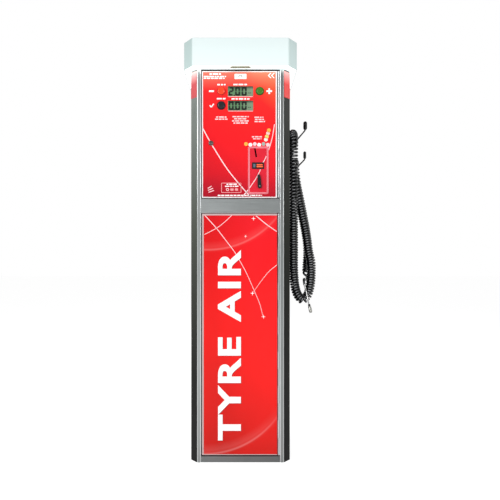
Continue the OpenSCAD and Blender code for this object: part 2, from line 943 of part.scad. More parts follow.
module air_tank() {
    dome_l = 45;
    port_x = riser_x - riser_stub;
    color([0.2, 0.3, 0.5])
        difference() {
            union() {
                translate([-tank_l / 2, tank_y, tank_z])
                    rotate([0, 90, 0]) cylinder(h = tank_l, r = tank_r);
                for (s = [-1, 1])
                    translate([s * tank_l / 2, tank_y, tank_z])
                        rotate([0, s * 90, 0])
                            cylinder(h = dome_l, r1 = tank_r - 0.5, r2 = tank_r - 50);
                for (x = [-80, 55])
                    block([x, x + 25], [tank_y - 85, tank_y + 85], [base_t, tank_z - 40]);
                for (x = [-70, 55], y = [tank_y - 50, tank_y + 40])
                    block([x, x + 15], [y, y + 10], [tank_z + 60, deck_z]);
                block([-125, 125], [tank_y - 75, tank_y + 75], [deck_z, deck_z + deck_t]);
                translate([tank_l / 2, tank_y, tank_z + 40])
                    rotate([0, 90, 0]) cylinder(h = port_x - tank_l / 2, r = 9);
            }
            translate([-tank_l / 2 + 3, tank_y, tank_z])
                rotate([0, 90, 0]) cylinder(h = tank_l - 6, r = tank_r - 3);
        }
}

module compressor_motor() {
    z = motor_z;
    color([0.25, 0.27, 0.3]) {
        translate([-115, tank_y, z]) rotate([0, 90, 0]) cylinder(h = 140, r = 60);
        for (i = [0 : 5])
            translate([-100 + 20 * i, tank_y, z]) rotate([0, 90, 0]) cylinder(h = 6, r = 64);
        block([-90, 0], [tank_y - 45, tank_y + 45], [deck_z + deck_t, z - 40]);
        block([-80, -20], [tank_y - 25, tank_y + 25], [z + 50, z + 85]);
    }
}

module compressor_pump() {
    z = motor_z;
    barrel_r = 34;
    color(alloy) {
        translate([25, tank_y, z]) rotate([0, 90, 0]) cylinder(h = 90, r = 50);
        block([35, 105], [tank_y - 35, tank_y + 35], [deck_z + deck_t, z - 30]);
        translate([pump_x, tank_y, z + 40]) cylinder(h = 75, r = barrel_r - 6);
        for (i = [0 : 6])
            translate([pump_x, tank_y, z + 52 + 8 * i]) cylinder(h = 3, r = barrel_r);
        block([pump_x - 32, pump_x + 32], [tank_y - 32, tank_y + 32], [z + 112, z + 132]);
        translate([pump_x - 5, tank_y - 12, z + 132]) cylinder(h = 34, r = 18);
    }
}

module cash_tin() {
    z0 = mid_rail_z + 26 + sheet;
    wall = 1.5;
    color(zinc)
        difference() {
            block([coin_x - 55, coin_x + 50], [-165, -55], [z0, z0 + 80]);
            block([coin_x - 55 + wall, coin_x + 50 - wall], [-165 + wall, -55 - wall],
                [z0 + wall, z0 + 80 + eps]);
        }
}

module cable_gland() {
    color(black)
        translate([gland_at.x, gland_at.y, 0])
            difference() {
                union() {
                    translate([0, 0, 0.5]) cylinder(h = 34, r = 9.8);
                    translate([0, 0, base_t]) cylinder(h = 8, r = 15, $fn = 6);
                    translate([0, 0, base_t + 16]) cylinder(h = 12, r = 14, $fn = 6);
                }
                translate([0, 0, -eps]) cylinder(h = 40, r = gland_bore_r);
            }
}

module panel_screws() {
    head_h = 2.5;
    color(alloy) {
        for (z = [upper_hook_z, lower_hook_z], dz = [-22, 22])
            translate([side_x + 3, hook_y, z + dz])
                rotate([0, 90, 0]) cylinder(h = head_h, r = 4.5);
        for (x = [-170, -60, 60, 170], z = [30, 560, 1080, 1545])
            rod_y(x, z, back_y, back_y + head_h, 5);
    }
}

// ---------- hooks and hose ----------

module hook(z, bend, rod_end) {
    color(black) {
        block([side_x, side_x + 3], [hook_y - 14, hook_y + 14], [z - 32, z + 32]);
        bar([side_x + 2, hook_y, z], bend, hook_rod_r);
        bar(bend, rod_end, hook_rod_r);
        translate(bend) sphere(r = hook_rod_r + 0.2);
    }
}

module upper_hook() {
    hook(upper_hook_z, upper_bend, upper_rod_end);
}

module lower_hook() {
    hook(lower_hook_z, lower_bend, lower_rod_end);
}

module hook_tip(at, r, l) {
    translate([at.x, at.y, at.z + 1.8]) {
        cylinder(h = 6, r1 = 0.6 * r, r2 = r);
        translate([0, 0, 6]) cylinder(h = l - 6 - r, r = r);
        translate([0, 0, l - r]) sphere(r = r);
    }
}

module hook_tips() {
    color(black) {
        hook_tip(upper_rod_end, upper_tip_r, upper_tip_l);
        hook_tip(lower_rod_end, lower_tip_r, lower_tip_l);
    }
}

module hose_outlet() {
    p = outlet_at;
    color(alloy) {
        translate([side_x - 15, p.y, p.z]) rotate([0, 90, 0]) cylinder(h = 17, r = 9.8);
        translate([side_x - sheet - 7, p.y, p.z])
            rotate([0, 90, 0]) cylinder(h = 7, r = 15, $fn = 6);
        translate([side_x, p.y, p.z]) rotate([0, 90, 0]) cylinder(h = 6, r = 15, $fn = 6);
        translate([side_x + 4, p.y, p.z])
            rotate([0, 90, 0]) cylinder(h = p.x - side_x - 4, r = 8);
        translate(p) sphere(r = 9.5);
        translate(p) cylinder(h = 18, r = 8);
        translate([p.x, p.y, p.z + 16])
            cylinder(h = sleeve_top - p.z - 16, r1 = 10, r2 = 6.5);
    }
}

module hose_coil() {
    color(black) sweep(coil_route, coil_od / 2, 12);
}

module hose_tail() {
    color(black) sweep(tail_route, tube_d / 2, 8);
}

module lance() {
    color(alloy)
        along(lance_top, lance_end) {
            cylinder(h = ferrule_l, r = 5);
            cylinder(h = ring_at, r = 3);
        }
}

module chuck() {
    total = norm(lance_end - lance_top);
    head_r = 6.5;
    color(zinc)
        along(lance_top, lance_end)
            difference() {
                union() {
                    translate([0, 0, ring_at]) cylinder(h = 9, r = 5);
                    translate([0, 0, chuck_at]) cylinder(h = total - chuck_at - 3, r = head_r);
                    translate([0, 0, total - 3]) cylinder(h = 3, r1 = head_r, r2 = head_r - 1.5);
                }
                translate([0, 0, total - chuck_bore_l]) cylinder(h = chuck_bore_l + 1, r = chuck_bore_r);
            }
}

base_plate();
left_cladding();
right_cladding();
back_panel();
left_stile();
right_stile();
top_rail();
mid_rail();
bottom_rail();
shelf();
roof_plate();
left_band();
right_band();
canopy_shell();
canopy_underside();
canopy_lens();
led_strips();
upper_hinge_frame();
lower_hinge_frame();
panel_screws();
fan_housing();
fan_rotor();
power_supply();
valve_block();
regulator();
regulator_knob();
air_pipes();
air_tank();
compressor_motor();
compressor_pump();
cash_tin();
cable_gland();
hose_outlet();
upper_hook();
lower_hook();
hook_tips();
hose_coil();
hose_tail();
lance();
chuck();
upper_door_pan();
upper_decor();
upper_hinge_door();
display_upper();
display_lower();
control_board();
button_bezels();
red_button();
green_button();
black_button();
coin_plate();
coin_frame();
coin_button();
coin_validator();
reject_lever();
lock_barrel();
lock_plug();
lower_door_pan();
lower_decor();
lower_hinge_door();
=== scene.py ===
"""Looks of the tyre inflator column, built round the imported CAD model."""

import math
import random

import bmesh
import bpy
from mathutils import Matrix, Vector


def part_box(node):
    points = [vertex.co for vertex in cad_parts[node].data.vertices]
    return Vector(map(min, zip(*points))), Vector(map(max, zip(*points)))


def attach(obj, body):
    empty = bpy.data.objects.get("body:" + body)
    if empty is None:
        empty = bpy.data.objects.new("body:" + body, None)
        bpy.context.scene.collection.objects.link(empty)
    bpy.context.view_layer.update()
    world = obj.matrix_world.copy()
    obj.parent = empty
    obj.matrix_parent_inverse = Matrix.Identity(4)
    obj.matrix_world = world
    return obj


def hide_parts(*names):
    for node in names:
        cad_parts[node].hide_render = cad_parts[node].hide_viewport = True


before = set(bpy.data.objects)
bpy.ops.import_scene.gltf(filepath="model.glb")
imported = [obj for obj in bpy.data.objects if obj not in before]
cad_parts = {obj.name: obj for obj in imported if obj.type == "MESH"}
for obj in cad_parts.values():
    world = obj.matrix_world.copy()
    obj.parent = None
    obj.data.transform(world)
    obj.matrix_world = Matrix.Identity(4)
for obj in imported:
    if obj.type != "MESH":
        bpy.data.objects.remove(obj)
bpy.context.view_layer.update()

MM = 0.001
LCD_W = 101                # window of each display, in millimetres
LCD_H = 39
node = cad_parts
CABINET = "cabinet"
UPPER = "upper_door"
LOWER = "lower_door"


# ---------- camera ----------

EYE_HEIGHT = 0.85          # about chest height, the camera is level
EYE_DISTANCE = 2.0         # from the front of the frame
cam_data = bpy.data.cameras.new("camera")
cam = bpy.data.objects.new("camera", cam_data)
bpy.context.collection.objects.link(cam)
cam.location = (0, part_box("left_stile")[0][1] - EYE_DISTANCE, EYE_HEIGHT)
cam.rotation_euler = (math.radians(90), 0, 0)
cam_data.lens = 36
cam_data.sensor_width = 36
cam_data.shift_x = 0.019   # the column stands a little left of the middle
bpy.context.scene.camera = cam
bpy.context.scene.view_settings.view_transform = "Standard"


# ---------- materials ----------

def dim(color, factor):
    return tuple(factor * c for c in color)


class Look:
    """A Principled material and short calls that add detail to it."""

    def __init__(self, name, color, rough, metal=0.0, **sockets):
        self.mat = bpy.data.materials.new(name)
        self.mat.use_nodes = True
        self.tree = self.mat.node_tree
        self.bsdf = self.tree.nodes["Principled BSDF"]
        self.color = color
        self.put("Base Color", (*color, 1))
        self.put("Roughness", rough)
        self.put("Metallic", metal)
        for socket, value in sockets.items():
            self.put(socket.replace("_", " "), value)
        self.place = self.add("ShaderNodeTexCoord").outputs["Object"]

    def put(self, socket, value):
        self.bsdf.inputs[socket].default_value = value

    def add(self, kind, inputs=None, **settings):
        made = self.tree.nodes.new(kind)
        for key, value in settings.items():
            setattr(made, key, value)
        for key, value in (inputs or {}).items():
            if isinstance(value, bpy.types.NodeSocket):
                self.tree.links.new(value, made.inputs[key])
            else:
                made.inputs[key].default_value = value
        return made

    def link(self, output, socket):
        self.tree.links.new(output, self.bsdf.inputs[socket])

    def noise(self, scale, detail=4.0, rough=0.55):
        """Noise with its own scale along X, Y and Z."""
        stretched = self.add("ShaderNodeMapping", {"Vector": self.place, "Scale": scale})
        made = self.add(
            "ShaderNodeTexNoise",
            {"Vector": stretched.outputs["Vector"], "Scale": 1.0, "Detail": detail, "Roughness": rough},
        )
        return made.outputs["Fac"]

    def spread(self, value, low, high, start=0.3, end=0.7):
        """value between start and end, spread from low to high."""
        made = self.add(
            "ShaderNodeMapRange",
            {"Value": value, "From Min": start, "From Max": end, "To Min": low, "To Max": high},
        )
        return made.outputs["Result"]

    def math(self, operation, a, b=0.0):
        return self.add("ShaderNodeMath", {0: a, 1: b}, operation=operation).outputs[0]

    def axis(self, name):
        return self.add("ShaderNodeSeparateXYZ", {"Vector": self.place}).outputs[name]

    def mix(self, amount, a, b):
        """Colour a where amount is 0 and b where it is 1."""
        made = self.add("ShaderNodeMix", data_type="RGBA")
        for index, value in ((0, amount), (6, a), (7, b)):
            if isinstance(value, bpy.types.NodeSocket):
                self.tree.links.new(value, made.inputs[index])
            else:
                made.inputs[index].default_value = (*value, 1) if index else value
        return made.outputs[2]

    def paint(self, color):
        self.link(color, "Base Color")

    def mottle(self, scale, amount):
        """Slow change of tone over the surface."""
        fac = self.spread(self.noise(scale, 3), 0, amount)
        self.paint(self.mix(fac, self.color, dim(self.color, 0.45)))

    def wear(self, scale, low, high):
        """Roughness that changes from low to high."""
        self.link(self.spread(self.noise(scale, 5), low, high), "Roughness")

    def bump(self, height, strength, distance):
        made = self.add(
            "ShaderNodeBump", {"Height": height, "Strength": strength, "Distance": distance}
        )
        self.link(made.outputs["Normal"], "Normal")

    def grain(self, scale, strength):
        self.bump(self.noise((scale, scale, scale), 3), strength, 0.0003)


def metal_look(name, color, low, high, streak, strength=0.25, foot=1.0, right=1.0, rim=None):
    """Brushed metal: streak is the noise scale, small along the brushing.

    foot and right paint shade into it: darker towards the floor and towards the hose side on the right;
    rim says how far a post's face lies from X = 0, and how far from there a painted highlight
    brightens its rounded edges.
    """
    made = Look(name, color, low, 1.0)
    fine = made.noise(streak, 6, 0.7)
    tone = made.mix(made.spread(fine, 0, 1, 0.35, 0.65), dim(color, 0.82), color)
    smudge = made.spread(made.noise((9, 9, 5), 4), 0, 0.35, 0.45, 0.75)
    tone = made.mix(smudge, tone, dim(color, 0.7))
    # painted shade: darker towards the floor, and towards the right side
    if foot < 1:
        tone = made.mix(made.spread(made.axis("Z"), 1 - foot, 0, 0, 1.2), tone, (0, 0, 0))
    if right < 1:
        tone = made.mix(made.spread(made.axis("X"), 0, 1 - right, -0.16, 0.16), tone, (0, 0, 0))
    # painted highlight: pale colour along the rounded edges of a post
    if rim:
        middle, edge = rim
        inward = made.math("SUBTRACT", made.math("ABSOLUTE", made.axis("X")), middle)
        bright = made.spread(made.math("ABSOLUTE", inward), 0, 0.85, edge, edge + 0.0015)
        tone = made.mix(bright, tone, (0.95, 0.98, 0.98))
    made.paint(tone)
    made.link(made.spread(fine, low, high), "Roughness")
    made.bump(fine, strength, 0.0002)
    return made


def plain_look(name, color, rough, grain=900, strength=0.2, mottle=0.15, **sockets):
    """Moulded or painted surface with a fine grain, soft blotches and uneven gloss."""
    made = Look(name, color, rough, **sockets)
    made.mottle((14, 14, 14), mottle)
    made.wear((25, 25, 25), max(0.03, rough - 0.07), min(1, rough + 0.09))
    made.grain(grain, strength)
    return made


def ink_look(name, color, rough=0.3, mottle=0.15):
    return plain_look(name, color, rough, grain=1200, strength=0.04, mottle=mottle)


def casing_look(name, floor_shade, middle, top):
    """Graphite coat with painted light: painted shade darkens it towards the floor and painted canopy light
    makes it lighter high up; random scuffs lie over it.
    """
    made = Look(name, middle, 0.4, Specular_IOR_Level=0.1)
    z = made.axis("Z")
    low = made.spread(z, 0, 1, 0.1, 0.95)
    high = made.spread(z, 0, 1, 0.95, 1.5)
    # painted shade towards the floor, painted light high up
    base = made.mix(high, made.mix(made.math("MULTIPLY", low, low), floor_shade, middle), top)
    scuff = made.spread(made.noise((30, 30, 8), 6, 0.7), 0, 0.4, 0.58, 0.8)
    made.paint(made.mix(scuff, base, dim(middle, 0.6)))
    made.wear((12, 12, 4), 0.34, 0.5)
    made.grain(700, 0.18)
    return made


def band_look(name, color, glow):
    """Red film with a painted glow: it is painted pale just below the lit canopy, as the canopy's light."""
    made = Look(name, color, 0.3, Specular_IOR_Level=0.3)
    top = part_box("left_band")[1][2]
    # painted light: pale towards the top, under the lit canopy
    pale = made.spread(made.axis("Z"), 0, glow, top - 0.05, top)
    cloud = made.spread(made.noise((20, 20, 14), 3), 0, 0.35)
    made.paint(made.mix(pale, made.mix(cloud, color, dim(color, 0.75)), (1.0, 0.75, 0.72)))
    made.wear((25, 25, 25), 0.24, 0.38)
    made.grain(900, 0.12)
    return made


def bezel_look():
    """Each ring takes the colour of its cap: red and green above, black below."""
    made = Look("bezel_plastic", (0.5, 0.02, 0.02), 0.3, Specular_IOR_Level=0.4)
    row_1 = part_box("red_button")[0][2]
    lower = made.math("LESS_THAN", made.axis("Z"), row_1 - 0.012)
    right = made.math("GREATER_THAN", made.axis("X"), 0.0)
    tone = made.mix(right, (0.62, 0.035, 0.022), (0.03, 0.10, 0.015))
    tone = made.mix(lower, tone, (0.014, 0.008, 0.014))
    shade = made.spread(made.noise((60, 60, 60), 3), 0, 0.3)
    made.paint(made.mix(shade, tone, (0.02, 0.01, 0.01)))
    made.wear((60, 60, 60), 0.2, 0.35)
    made.grain(900, 0.08)
    return made


def leaf_look(name, color):
    """Hinge: the narrow leaf beside the print lies in shade, the knuckles are bright."""
    made = Look(name, (0.50, 0.52, 0.53), 0.3, 1.0)
    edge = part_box("upper_door_pan")[1][0]
    on_leaf = made.math("LESS_THAN", made.axis("X"), edge - 0.0002)
    streak = made.noise((800, 800, 20), 5)
    bright = made.mix(made.spread(streak, 0, 0.4), (0.55, 0.57, 0.58), (0.30, 0.31, 0.32))
    made.paint(made.mix(on_leaf, bright, color))
    made.link(made.spread(streak, 0.25, 0.4), "Roughness")
    made.bump(streak, 0.2, 0.0002)
    return made


def red_panel_look(name, low, mid, high, z0, z1):
    """Printed red: low, mid and high are the colours from the bottom to the top."""
    made = Look(name, mid, 0.24, Specular_IOR_Level=0.16)
    z = made.axis("Z")
    x = made.axis("X")
    lower = made.spread(z, 0, 1, z0, (z0 + z1) / 2)
    upper = made.spread(z, 0, 1, (z0 + z1) / 2, z1)
    tone = made.mix(upper, made.mix(lower, low, mid), high)
    left = made.spread(made.math("ADD", x, made.math("MULTIPLY", z, 0.08)), 0.45, 0, -0.06, 0.12)
    tone = made.mix(left, tone, dim(low, 0.75))
    cloud = made.spread(made.noise((5, 5, 3), 2), 0, 0.25, 0.4, 0.7)
    tone = made.mix(cloud, tone, dim(mid, 0.85))
    made.wear((18, 18, 18), 0.17, 0.27)
    made.grain(1500, 0.05)
    return made, tone, x, z


def soft_arc(look, tone, x, z, centre, radius, width, strength):
    """A pale blurred band along the foot of a circle, faded by its distance from the arc."""
    dx = look.math("SUBTRACT", x, centre[0])
    dz = look.math("SUBTRACT", z, centre[1])
    square = look.math("ADD", look.math("MULTIPLY", dx, dx), look.math("MULTIPLY", dz, dz))
    off = look.math("ABSOLUTE", look.math("SUBTRACT", look.math("SQRT", square), radius))
    foot = look.spread(z, 1, 0, centre[1] - 0.85 * radius, centre[1] - 0.45 * radius)
    fac = look.math("MULTIPLY", look.spread(off, strength, 0, 0, width), foot)
    return look.mix(fac, tone, (1.0, 0.62, 0.6))


def upper_panel_look():
    lo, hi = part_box("upper_decor")
    made, tone, x, z = red_panel_look(
        "upper_panel_print", (0.50, 0.010, 0.022), (0.93, 0.014, 0.018), (0.93, 0.030, 0.026), lo[2], hi[2]
    )
    foot = made.spread(z, 0.45, 0, lo[2], lo[2] + 0.09)
    tone = made.mix(foot, tone, (0.20, 0.008, 0.02))
    # painted light: an orange glow towards the upper right corner
    corner = made.math("ADD", x, made.math("MULTIPLY", made.math("SUBTRACT", z, hi[2]), 1.2))
    glow = made.spread(corner, 0, 0.45, -0.06, 0.12)
    tone = made.mix(glow, tone, (1.0, 0.22, 0.06))
    # painted light: paler along the top edge, under the lit canopy
    rim = made.spread(z, 0, 0.42, hi[2] - 0.075, hi[2])
    made.paint(made.mix(rim, tone, (1.0, 0.33, 0.22)))
    return made


def lower_panel_look():
    lo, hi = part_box("lower_decor")
    made, tone, x, z = red_panel_look(
        "lower_panel_print", (0.55, 0.008, 0.004), (1.0, 0.010, 0.010), (0.72, 0.012, 0.020), lo[2], hi[2]
    )
    for centre, radius, width, strength in (
        ((-0.130, 1.208), 0.357, 0.006, 0.13), ((-0.130, 1.222), 0.36, 0.024, 0.04),
        ((-0.143, 0.391), 0.357, 0.006, 0.16), ((-0.143, 0.407), 0.358, 0.026, 0.05)
    ):
        tone = soft_arc(made, tone, x, z, centre, radius, width, strength)
    made.paint(tone)
    return made


def canopy_look():
    """Translucent cap lit from below: brightest low on its front; its slanted ends are painted greyer and
    glow less, as painted shade.
    """
    lo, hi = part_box("canopy_shell")
    made = Look("canopy_acrylic", (0.44, 0.49, 0.49), 0.34, Specular_IOR_Level=0.3)
    # painted shade on the slanted ends: a greyer colour and a weaker glow
    ends = made.spread(made.math("ABSOLUTE", made.axis("X")), 0, 1, 0.186, 0.194)
    cloud = made.spread(made.noise((5, 5, 5), 3), 0, 0.12)
    front = made.mix(cloud, made.color, (0.38, 0.44, 0.44))
    made.paint(made.mix(ends, front, (0.26, 0.34, 0.33)))
    rise = made.spread(made.axis("Z"), 0.42, 0.31, lo[2], hi[2])
    made.link(made.math("MULTIPLY", rise, made.spread(ends, 1, 0.75, 0, 1)), "Emission Strength")
    made.put("Emission Color", (0.86, 1.0, 0.99, 1))
    made.wear((10, 10, 10), 0.28, 0.4)
    made.grain(300, 0.05)
    return made


def lit_look(name, color, strength):
    made = Look(name, color, 0.4, Emission_Color=(*color, 1))
    glow = made.spread(made.noise((30, 30, 30), 2), strength * 0.9, strength * 1.1)
    made.link(glow, "Emission Strength")
    made.grain(600, 0.05)
    return made


def lcd_look(name, top):
    """Grey-green glass, shaded below its top edge."""
    made = Look(name, (0.10, 0.21, 0.10), 0.18, Specular_IOR_Level=0.35)
    cells = made.noise((260, 10, 260), 2)
    right = made.spread(made.axis("X"), 0, 1, 0.0, 0.05)
    tone = made.mix(made.spread(cells, 0, 0.3), made.color, (0.16, 0.28, 0.17))
    tone = made.mix(right, tone, (0.20, 0.27, 0.18))
    shade = made.spread(made.axis("Z"), 0, 0.8, top - 0.012, top - 0.002)
    made.paint(made.mix(shade, tone, (0.02, 0.025, 0.02)))
    made.grain(1800, 0.04)
    return made


post_lo, post_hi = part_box("left_stile")
POST_EDGE_HIGHLIGHT = (-(post_lo[0] + post_hi[0]) / 2, 0.0052)
STEEL = (0.62, 0.66, 0.66)
UPRIGHT = (900, 900, 6)    # brushing along Z and along X
ACROSS = (6, 900, 900)
# one steel in several copies: the right post and the bottom rail are darker copies as painted shade, and the
# posts' edges get a painted highlight
steel_left = metal_look("steel_left_post", STEEL, 0.26, 0.4, UPRIGHT, foot=0.45, rim=POST_EDGE_HIGHLIGHT)
steel_right_shaded = metal_look("steel_right_post", dim(STEEL, 0.62), 0.26, 0.4, UPRIGHT, foot=0.6, rim=POST_EDGE_HIGHLIGHT)
steel_across = metal_look("steel_brushed_across", STEEL, 0.26, 0.42, ACROSS, foot=0.5, right=0.75)
steel_foot_shaded = metal_look("steel_brushed_foot", dim(STEEL, 0.6), 0.26, 0.42, ACROSS, foot=0.5, right=0.7)
upper_leaf = leaf_look("upper_hinge_leaf", (0.10, 0.10, 0.095))
lower_leaf = leaf_look("lower_hinge_leaf", (0.20, 0.035, 0.04))
hinge_steel = metal_look("hinge_steel", (0.50, 0.52, 0.53), 0.25, 0.4, (800, 800, 20))
zinc = metal_look("zinc_plate", (0.55, 0.58, 0.60), 0.35, 0.55, (60, 60, 60), 0.1)
chrome = metal_look("plated_steel", (0.72, 0.72, 0.70), 0.12, 0.26, (300, 300, 300), 0.08)
lance_metal = metal_look("lance_metal", (0.80, 0.80, 0.79), 0.24, 0.38, (300, 300, 300), 0.08)
chuck_metal = metal_look("chuck_metal", (0.45, 0.45, 0.42), 0.3, 0.45, (400, 400, 400), 0.3)
alloy = metal_look("cast_alloy", (0.62, 0.63, 0.64), 0.35, 0.55, (500, 500, 500), 0.4)
casing = casing_look("casing_paint", (0.006, 0.006, 0.006), (0.05, 0.053, 0.05), (0.13, 0.14, 0.135))
# the two side claddings are one graphite paint in a lit and a shaded copy: the left is painted lighter, the
# right darker, and the black at their foot is painted shade
FLOOR_SHADE_BLACK = (0.003, 0.003, 0.003)
casing_left_lit = casing_look("casing_left_paint", FLOOR_SHADE_BLACK, (0.075, 0.083, 0.07), (0.21, 0.235, 0.22))
casing_right_shaded = casing_look("casing_right_paint", FLOOR_SHADE_BLACK, (0.020, 0.022, 0.018), (0.028, 0.030, 0.027))
# one red film on both sides in two tones as painted light: paler on the left, where more light falls
left_film = band_look("left_red_film", (0.62, 0.10, 0.11), 0.7)
right_film = band_look("right_red_film", (0.80, 0.03, 0.025), 0.5)
white_paint = plain_look("white_paint", (0.83, 0.80, 0.81), 0.3, mottle=0.05, Specular_IOR_Level=0.3)
shaded_paint = plain_look(
    "shaded_white_paint", (0.72, 0.70, 0.70), 0.35, mottle=0.1, Specular_IOR_Level=0.3
)
shade_depth = shaded_paint.spread(shaded_paint.axis("Y"), 1, 0, -0.1975, -0.1960)
shaded_paint.paint(shaded_paint.mix(shade_depth, shaded_paint.color, (0.50, 0.37, 0.37)))
black_plastic = plain_look(
    "black_plastic", (0.008, 0.008, 0.009), 0.42, strength=0.3, Specular_IOR_Level=0.3
)
black_paint = plain_look("black_powder_coat", (0.008, 0.008, 0.008), 0.4, Specular_IOR_Level=0.2)
vinyl = plain_look("dipped_vinyl", (0.006, 0.006, 0.006), 0.35, strength=0.1, Specular_IOR_Level=0.3)


def hose_look():
    """Glossy black plastic with a painted highlight: pale grey along the crest of each turn where it faces
    the viewer.
    """
    made = Look(
        "hose_polyurethane", (0.003, 0.0033, 0.0045), 0.24, Specular_IOR_Level=0.25,
        Coat_Weight=0.5, Coat_Roughness=0.07
    )
    # painted highlight: the crest facing the viewer is painted pale grey
    crest = made.spread(made.add("ShaderNodeLayerWeight").outputs["Facing"], 0.9, 0, 0.0, 0.08)
    made.paint(made.mix(crest, made.color, (0.40, 0.41, 0.43)))
    made.wear((25, 25, 25), 0.18, 0.32)
    made.grain(500, 0.04)
    return made


hose_rubber = hose_look()
boot_rubber = plain_look("boot_rubber", (0.02, 0.02, 0.02), 0.55, strength=0.3)
# the faint emission paints a glow into the red cap
red_cap = plain_look(
    "red_cap", (0.92, 0.055, 0.014), 0.16, strength=0.02, Coat_Weight=0.3,
    Emission_Color=(1, 0.07, 0.02, 1), Emission_Strength=0.06
)
green_cap = plain_look("green_cap", (0.045, 0.17, 0.010), 0.24, strength=0.04, Coat_Weight=0.3)
black_cap = plain_look("black_cap", (0.008, 0.008, 0.012), 0.28, strength=0.05, Coat_Weight=0.2)
blue_cap = plain_look("blue_grey_cap", (0.10, 0.13, 0.18), 0.3, strength=0.05, Coat_Weight=0.4)
board_green = plain_look("circuit_board", (0.012, 0.11, 0.03), 0.35, grain=300, mottle=0.4)
tank_blue = plain_look("tank_enamel", (0.02, 0.07, 0.20), 0.25, grain=200, Coat_Weight=0.5)
motor_grey = plain_look("motor_enamel", (0.06, 0.065, 0.075), 0.4, grain=350, strength=0.4)
pipe_blue = plain_look("nylon_pipe", (0.03, 0.12, 0.32), 0.3)
upper_print = upper_panel_look()
lower_print = lower_panel_look()
plate_print = plain_look(
    "coin_plate_print", (0.70, 0.016, 0.035), 0.2, strength=0.03, mottle=0.25, Specular_IOR_Level=0.4
)
bezel = bezel_look()
lock_metal = metal_look("lock_metal", (0.20, 0.18, 0.17), 0.22, 0.4, (300, 300, 300), 0.08)
acrylic = canopy_look()
glow_sheet = lit_look("canopy_diffuser", (0.90, 1.0, 0.97), 1.6)
led_light = lit_look("led_light", (1.0, 0.97, 0.88), 6.0)
amber = lit_look("amber_segments", (1.0, 0.13, 0.03), 0.42)
amber_dark = plain_look("amber_window", (0.20, 0.022, 0.010), 0.15, Coat_Weight=0.8)
lcd_looks = {}
for name in ("display_upper", "display_lower"):
    low_corner, high_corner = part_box(name)
    level = (low_corner[2] + high_corner[2]) / 2
    lcd_looks[name] = lcd_look(name + "_glass", level + LCD_H * MM / 2)
lens_smoke = plain_look("smoky_lens", (0.30, 0.38, 0.27), 0.3, Coat_Weight=0.3)
lcd_ink = plain_look("lcd_segment", (0.010, 0.016, 0.012), 0.3, strength=0.03)
white_ink = ink_look("white_ink", (0.95, 0.90, 0.90), mottle=0.06)
dark_red_ink = ink_look("dark_red_ink", (0.22, 0.006, 0.010))
# pale frame that paints the highlight on the coin plate's raised edge
plate_edge_highlight = ink_look("plate_edge_highlight", (0.80, 0.16, 0.22), 0.28, mottle=0.3)
pink_print_and_highlight = ink_look("pink_print_and_highlight", (0.88, 0.36, 0.38), 0.28, mottle=0.15)
pale_ink = ink_look("pale_ink", (0.93, 0.72, 0.74), 0.28, mottle=0.1)
rose_ink = ink_look("rose_ink", (0.95, 0.62, 0.64), 0.28, mottle=0.1)
grey_ink = ink_look("grey_ink", (0.35, 0.42, 0.38))
gold_ink = ink_look("gold_ink", (0.90, 0.45, 0.06))
lime_ink = ink_look("lime_ink", (0.75, 0.78, 0.20))


# ---------- piece helpers ----------

def middle(name, axis):
    """Middle of a CAD node along X, Y or Z (0, 1 or 2), in millimetres."""
    low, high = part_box(name)
    return (low[axis] + high[axis]) / 2 / MM


def smooth_by_angle(mesh):
    for face in mesh.polygons:
        face.use_smooth = True
    mesh.set_sharp_from_angle(angle=math.radians(35))


def own(obj, look, body, smooth=True):
    """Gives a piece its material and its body."""
    bpy.context.collection.objects.link(obj)
    obj.data.materials.append(look.mat)
    if smooth and obj.type == "MESH":
        smooth_by_angle(obj.data)
    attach(obj, body)
    return obj


def mesh_piece(name, bm, look, body, smooth=True):
    bmesh.ops.recalc_face_normals(bm, faces=bm.faces[:])
    mesh = bpy.data.meshes.new(name)
    bm.to_mesh(mesh)
    bm.free()
    return own(bpy.data.objects.new(name, mesh), look, body, smooth)


def soften(obj, width):
    """Rounds an object's edges. CAD vertices are welded first, so that edges are shared."""
    weld = obj.modifiers.new("weld", "WELD")
    weld.merge_threshold = 1e-6
    bevel = obj.modifiers.new("soft_edges", "BEVEL")
    bevel.width = width
    bevel.segments = 2
    bevel.limit_method = "ANGLE"
    bevel.angle_limit = math.radians(40)
    bevel.miter_outer = "MITER_ARC"


LIFT = 0.02 * MM           # air behind a print, so that no faces coincide


def decal(name, shapes, y, look, body, thick=0.15 * MM):
    """Thin flat shapes just in front of y; a shape is a list of (x, z) in millimetres."""
    bm = bmesh.new()
    for shape in shapes:
        bm.faces.new([bm.verts.new((x * MM, y - LIFT, z * MM)) for x, z in shape])
    front = bmesh.ops.extrude_face_region(bm, geom=bm.faces[:])
    moved = [g for g in front["geom"] if isinstance(g, bmesh.types.BMVert)]
    bmesh.ops.translate(bm, verts=moved, vec=(0, -thick, 0))
    return mesh_piece(name, bm, look, body, smooth=False)


def polar(x, z, r, angle):
    return (x + r * math.cos(angle), z + r * math.sin(angle))


def rect(x, z, w, h):
    return [(x + sx * w / 2, z + sz * h / 2) for sx, sz in ((-1, -1), (1, -1), (1, 1), (-1, 1))]


def disc(x, z, r, steps=32, start=0, turn=360):
    count = steps if turn == 360 else steps + 1
    return [polar(x, z, r, math.radians(start + turn * i / steps)) for i in range(count)]


def round_rect(x, z, w, h, r, steps=6):
    points = []
    for corner, (sx, sz) in enumerate(((1, 1), (-1, 1), (-1, -1), (1, -1))):
        points += disc(x + sx * (w / 2 - r), z + sz * (h / 2 - r), r, steps, 90 * corner, 90)
    return points


def between(outer, inner):
    """Quads between two outlines with the same number of points."""
    n = len(outer)
    return [[outer[i], outer[(i + 1) % n], inner[(i + 1) % n], inner[i]] for i in range(n)]


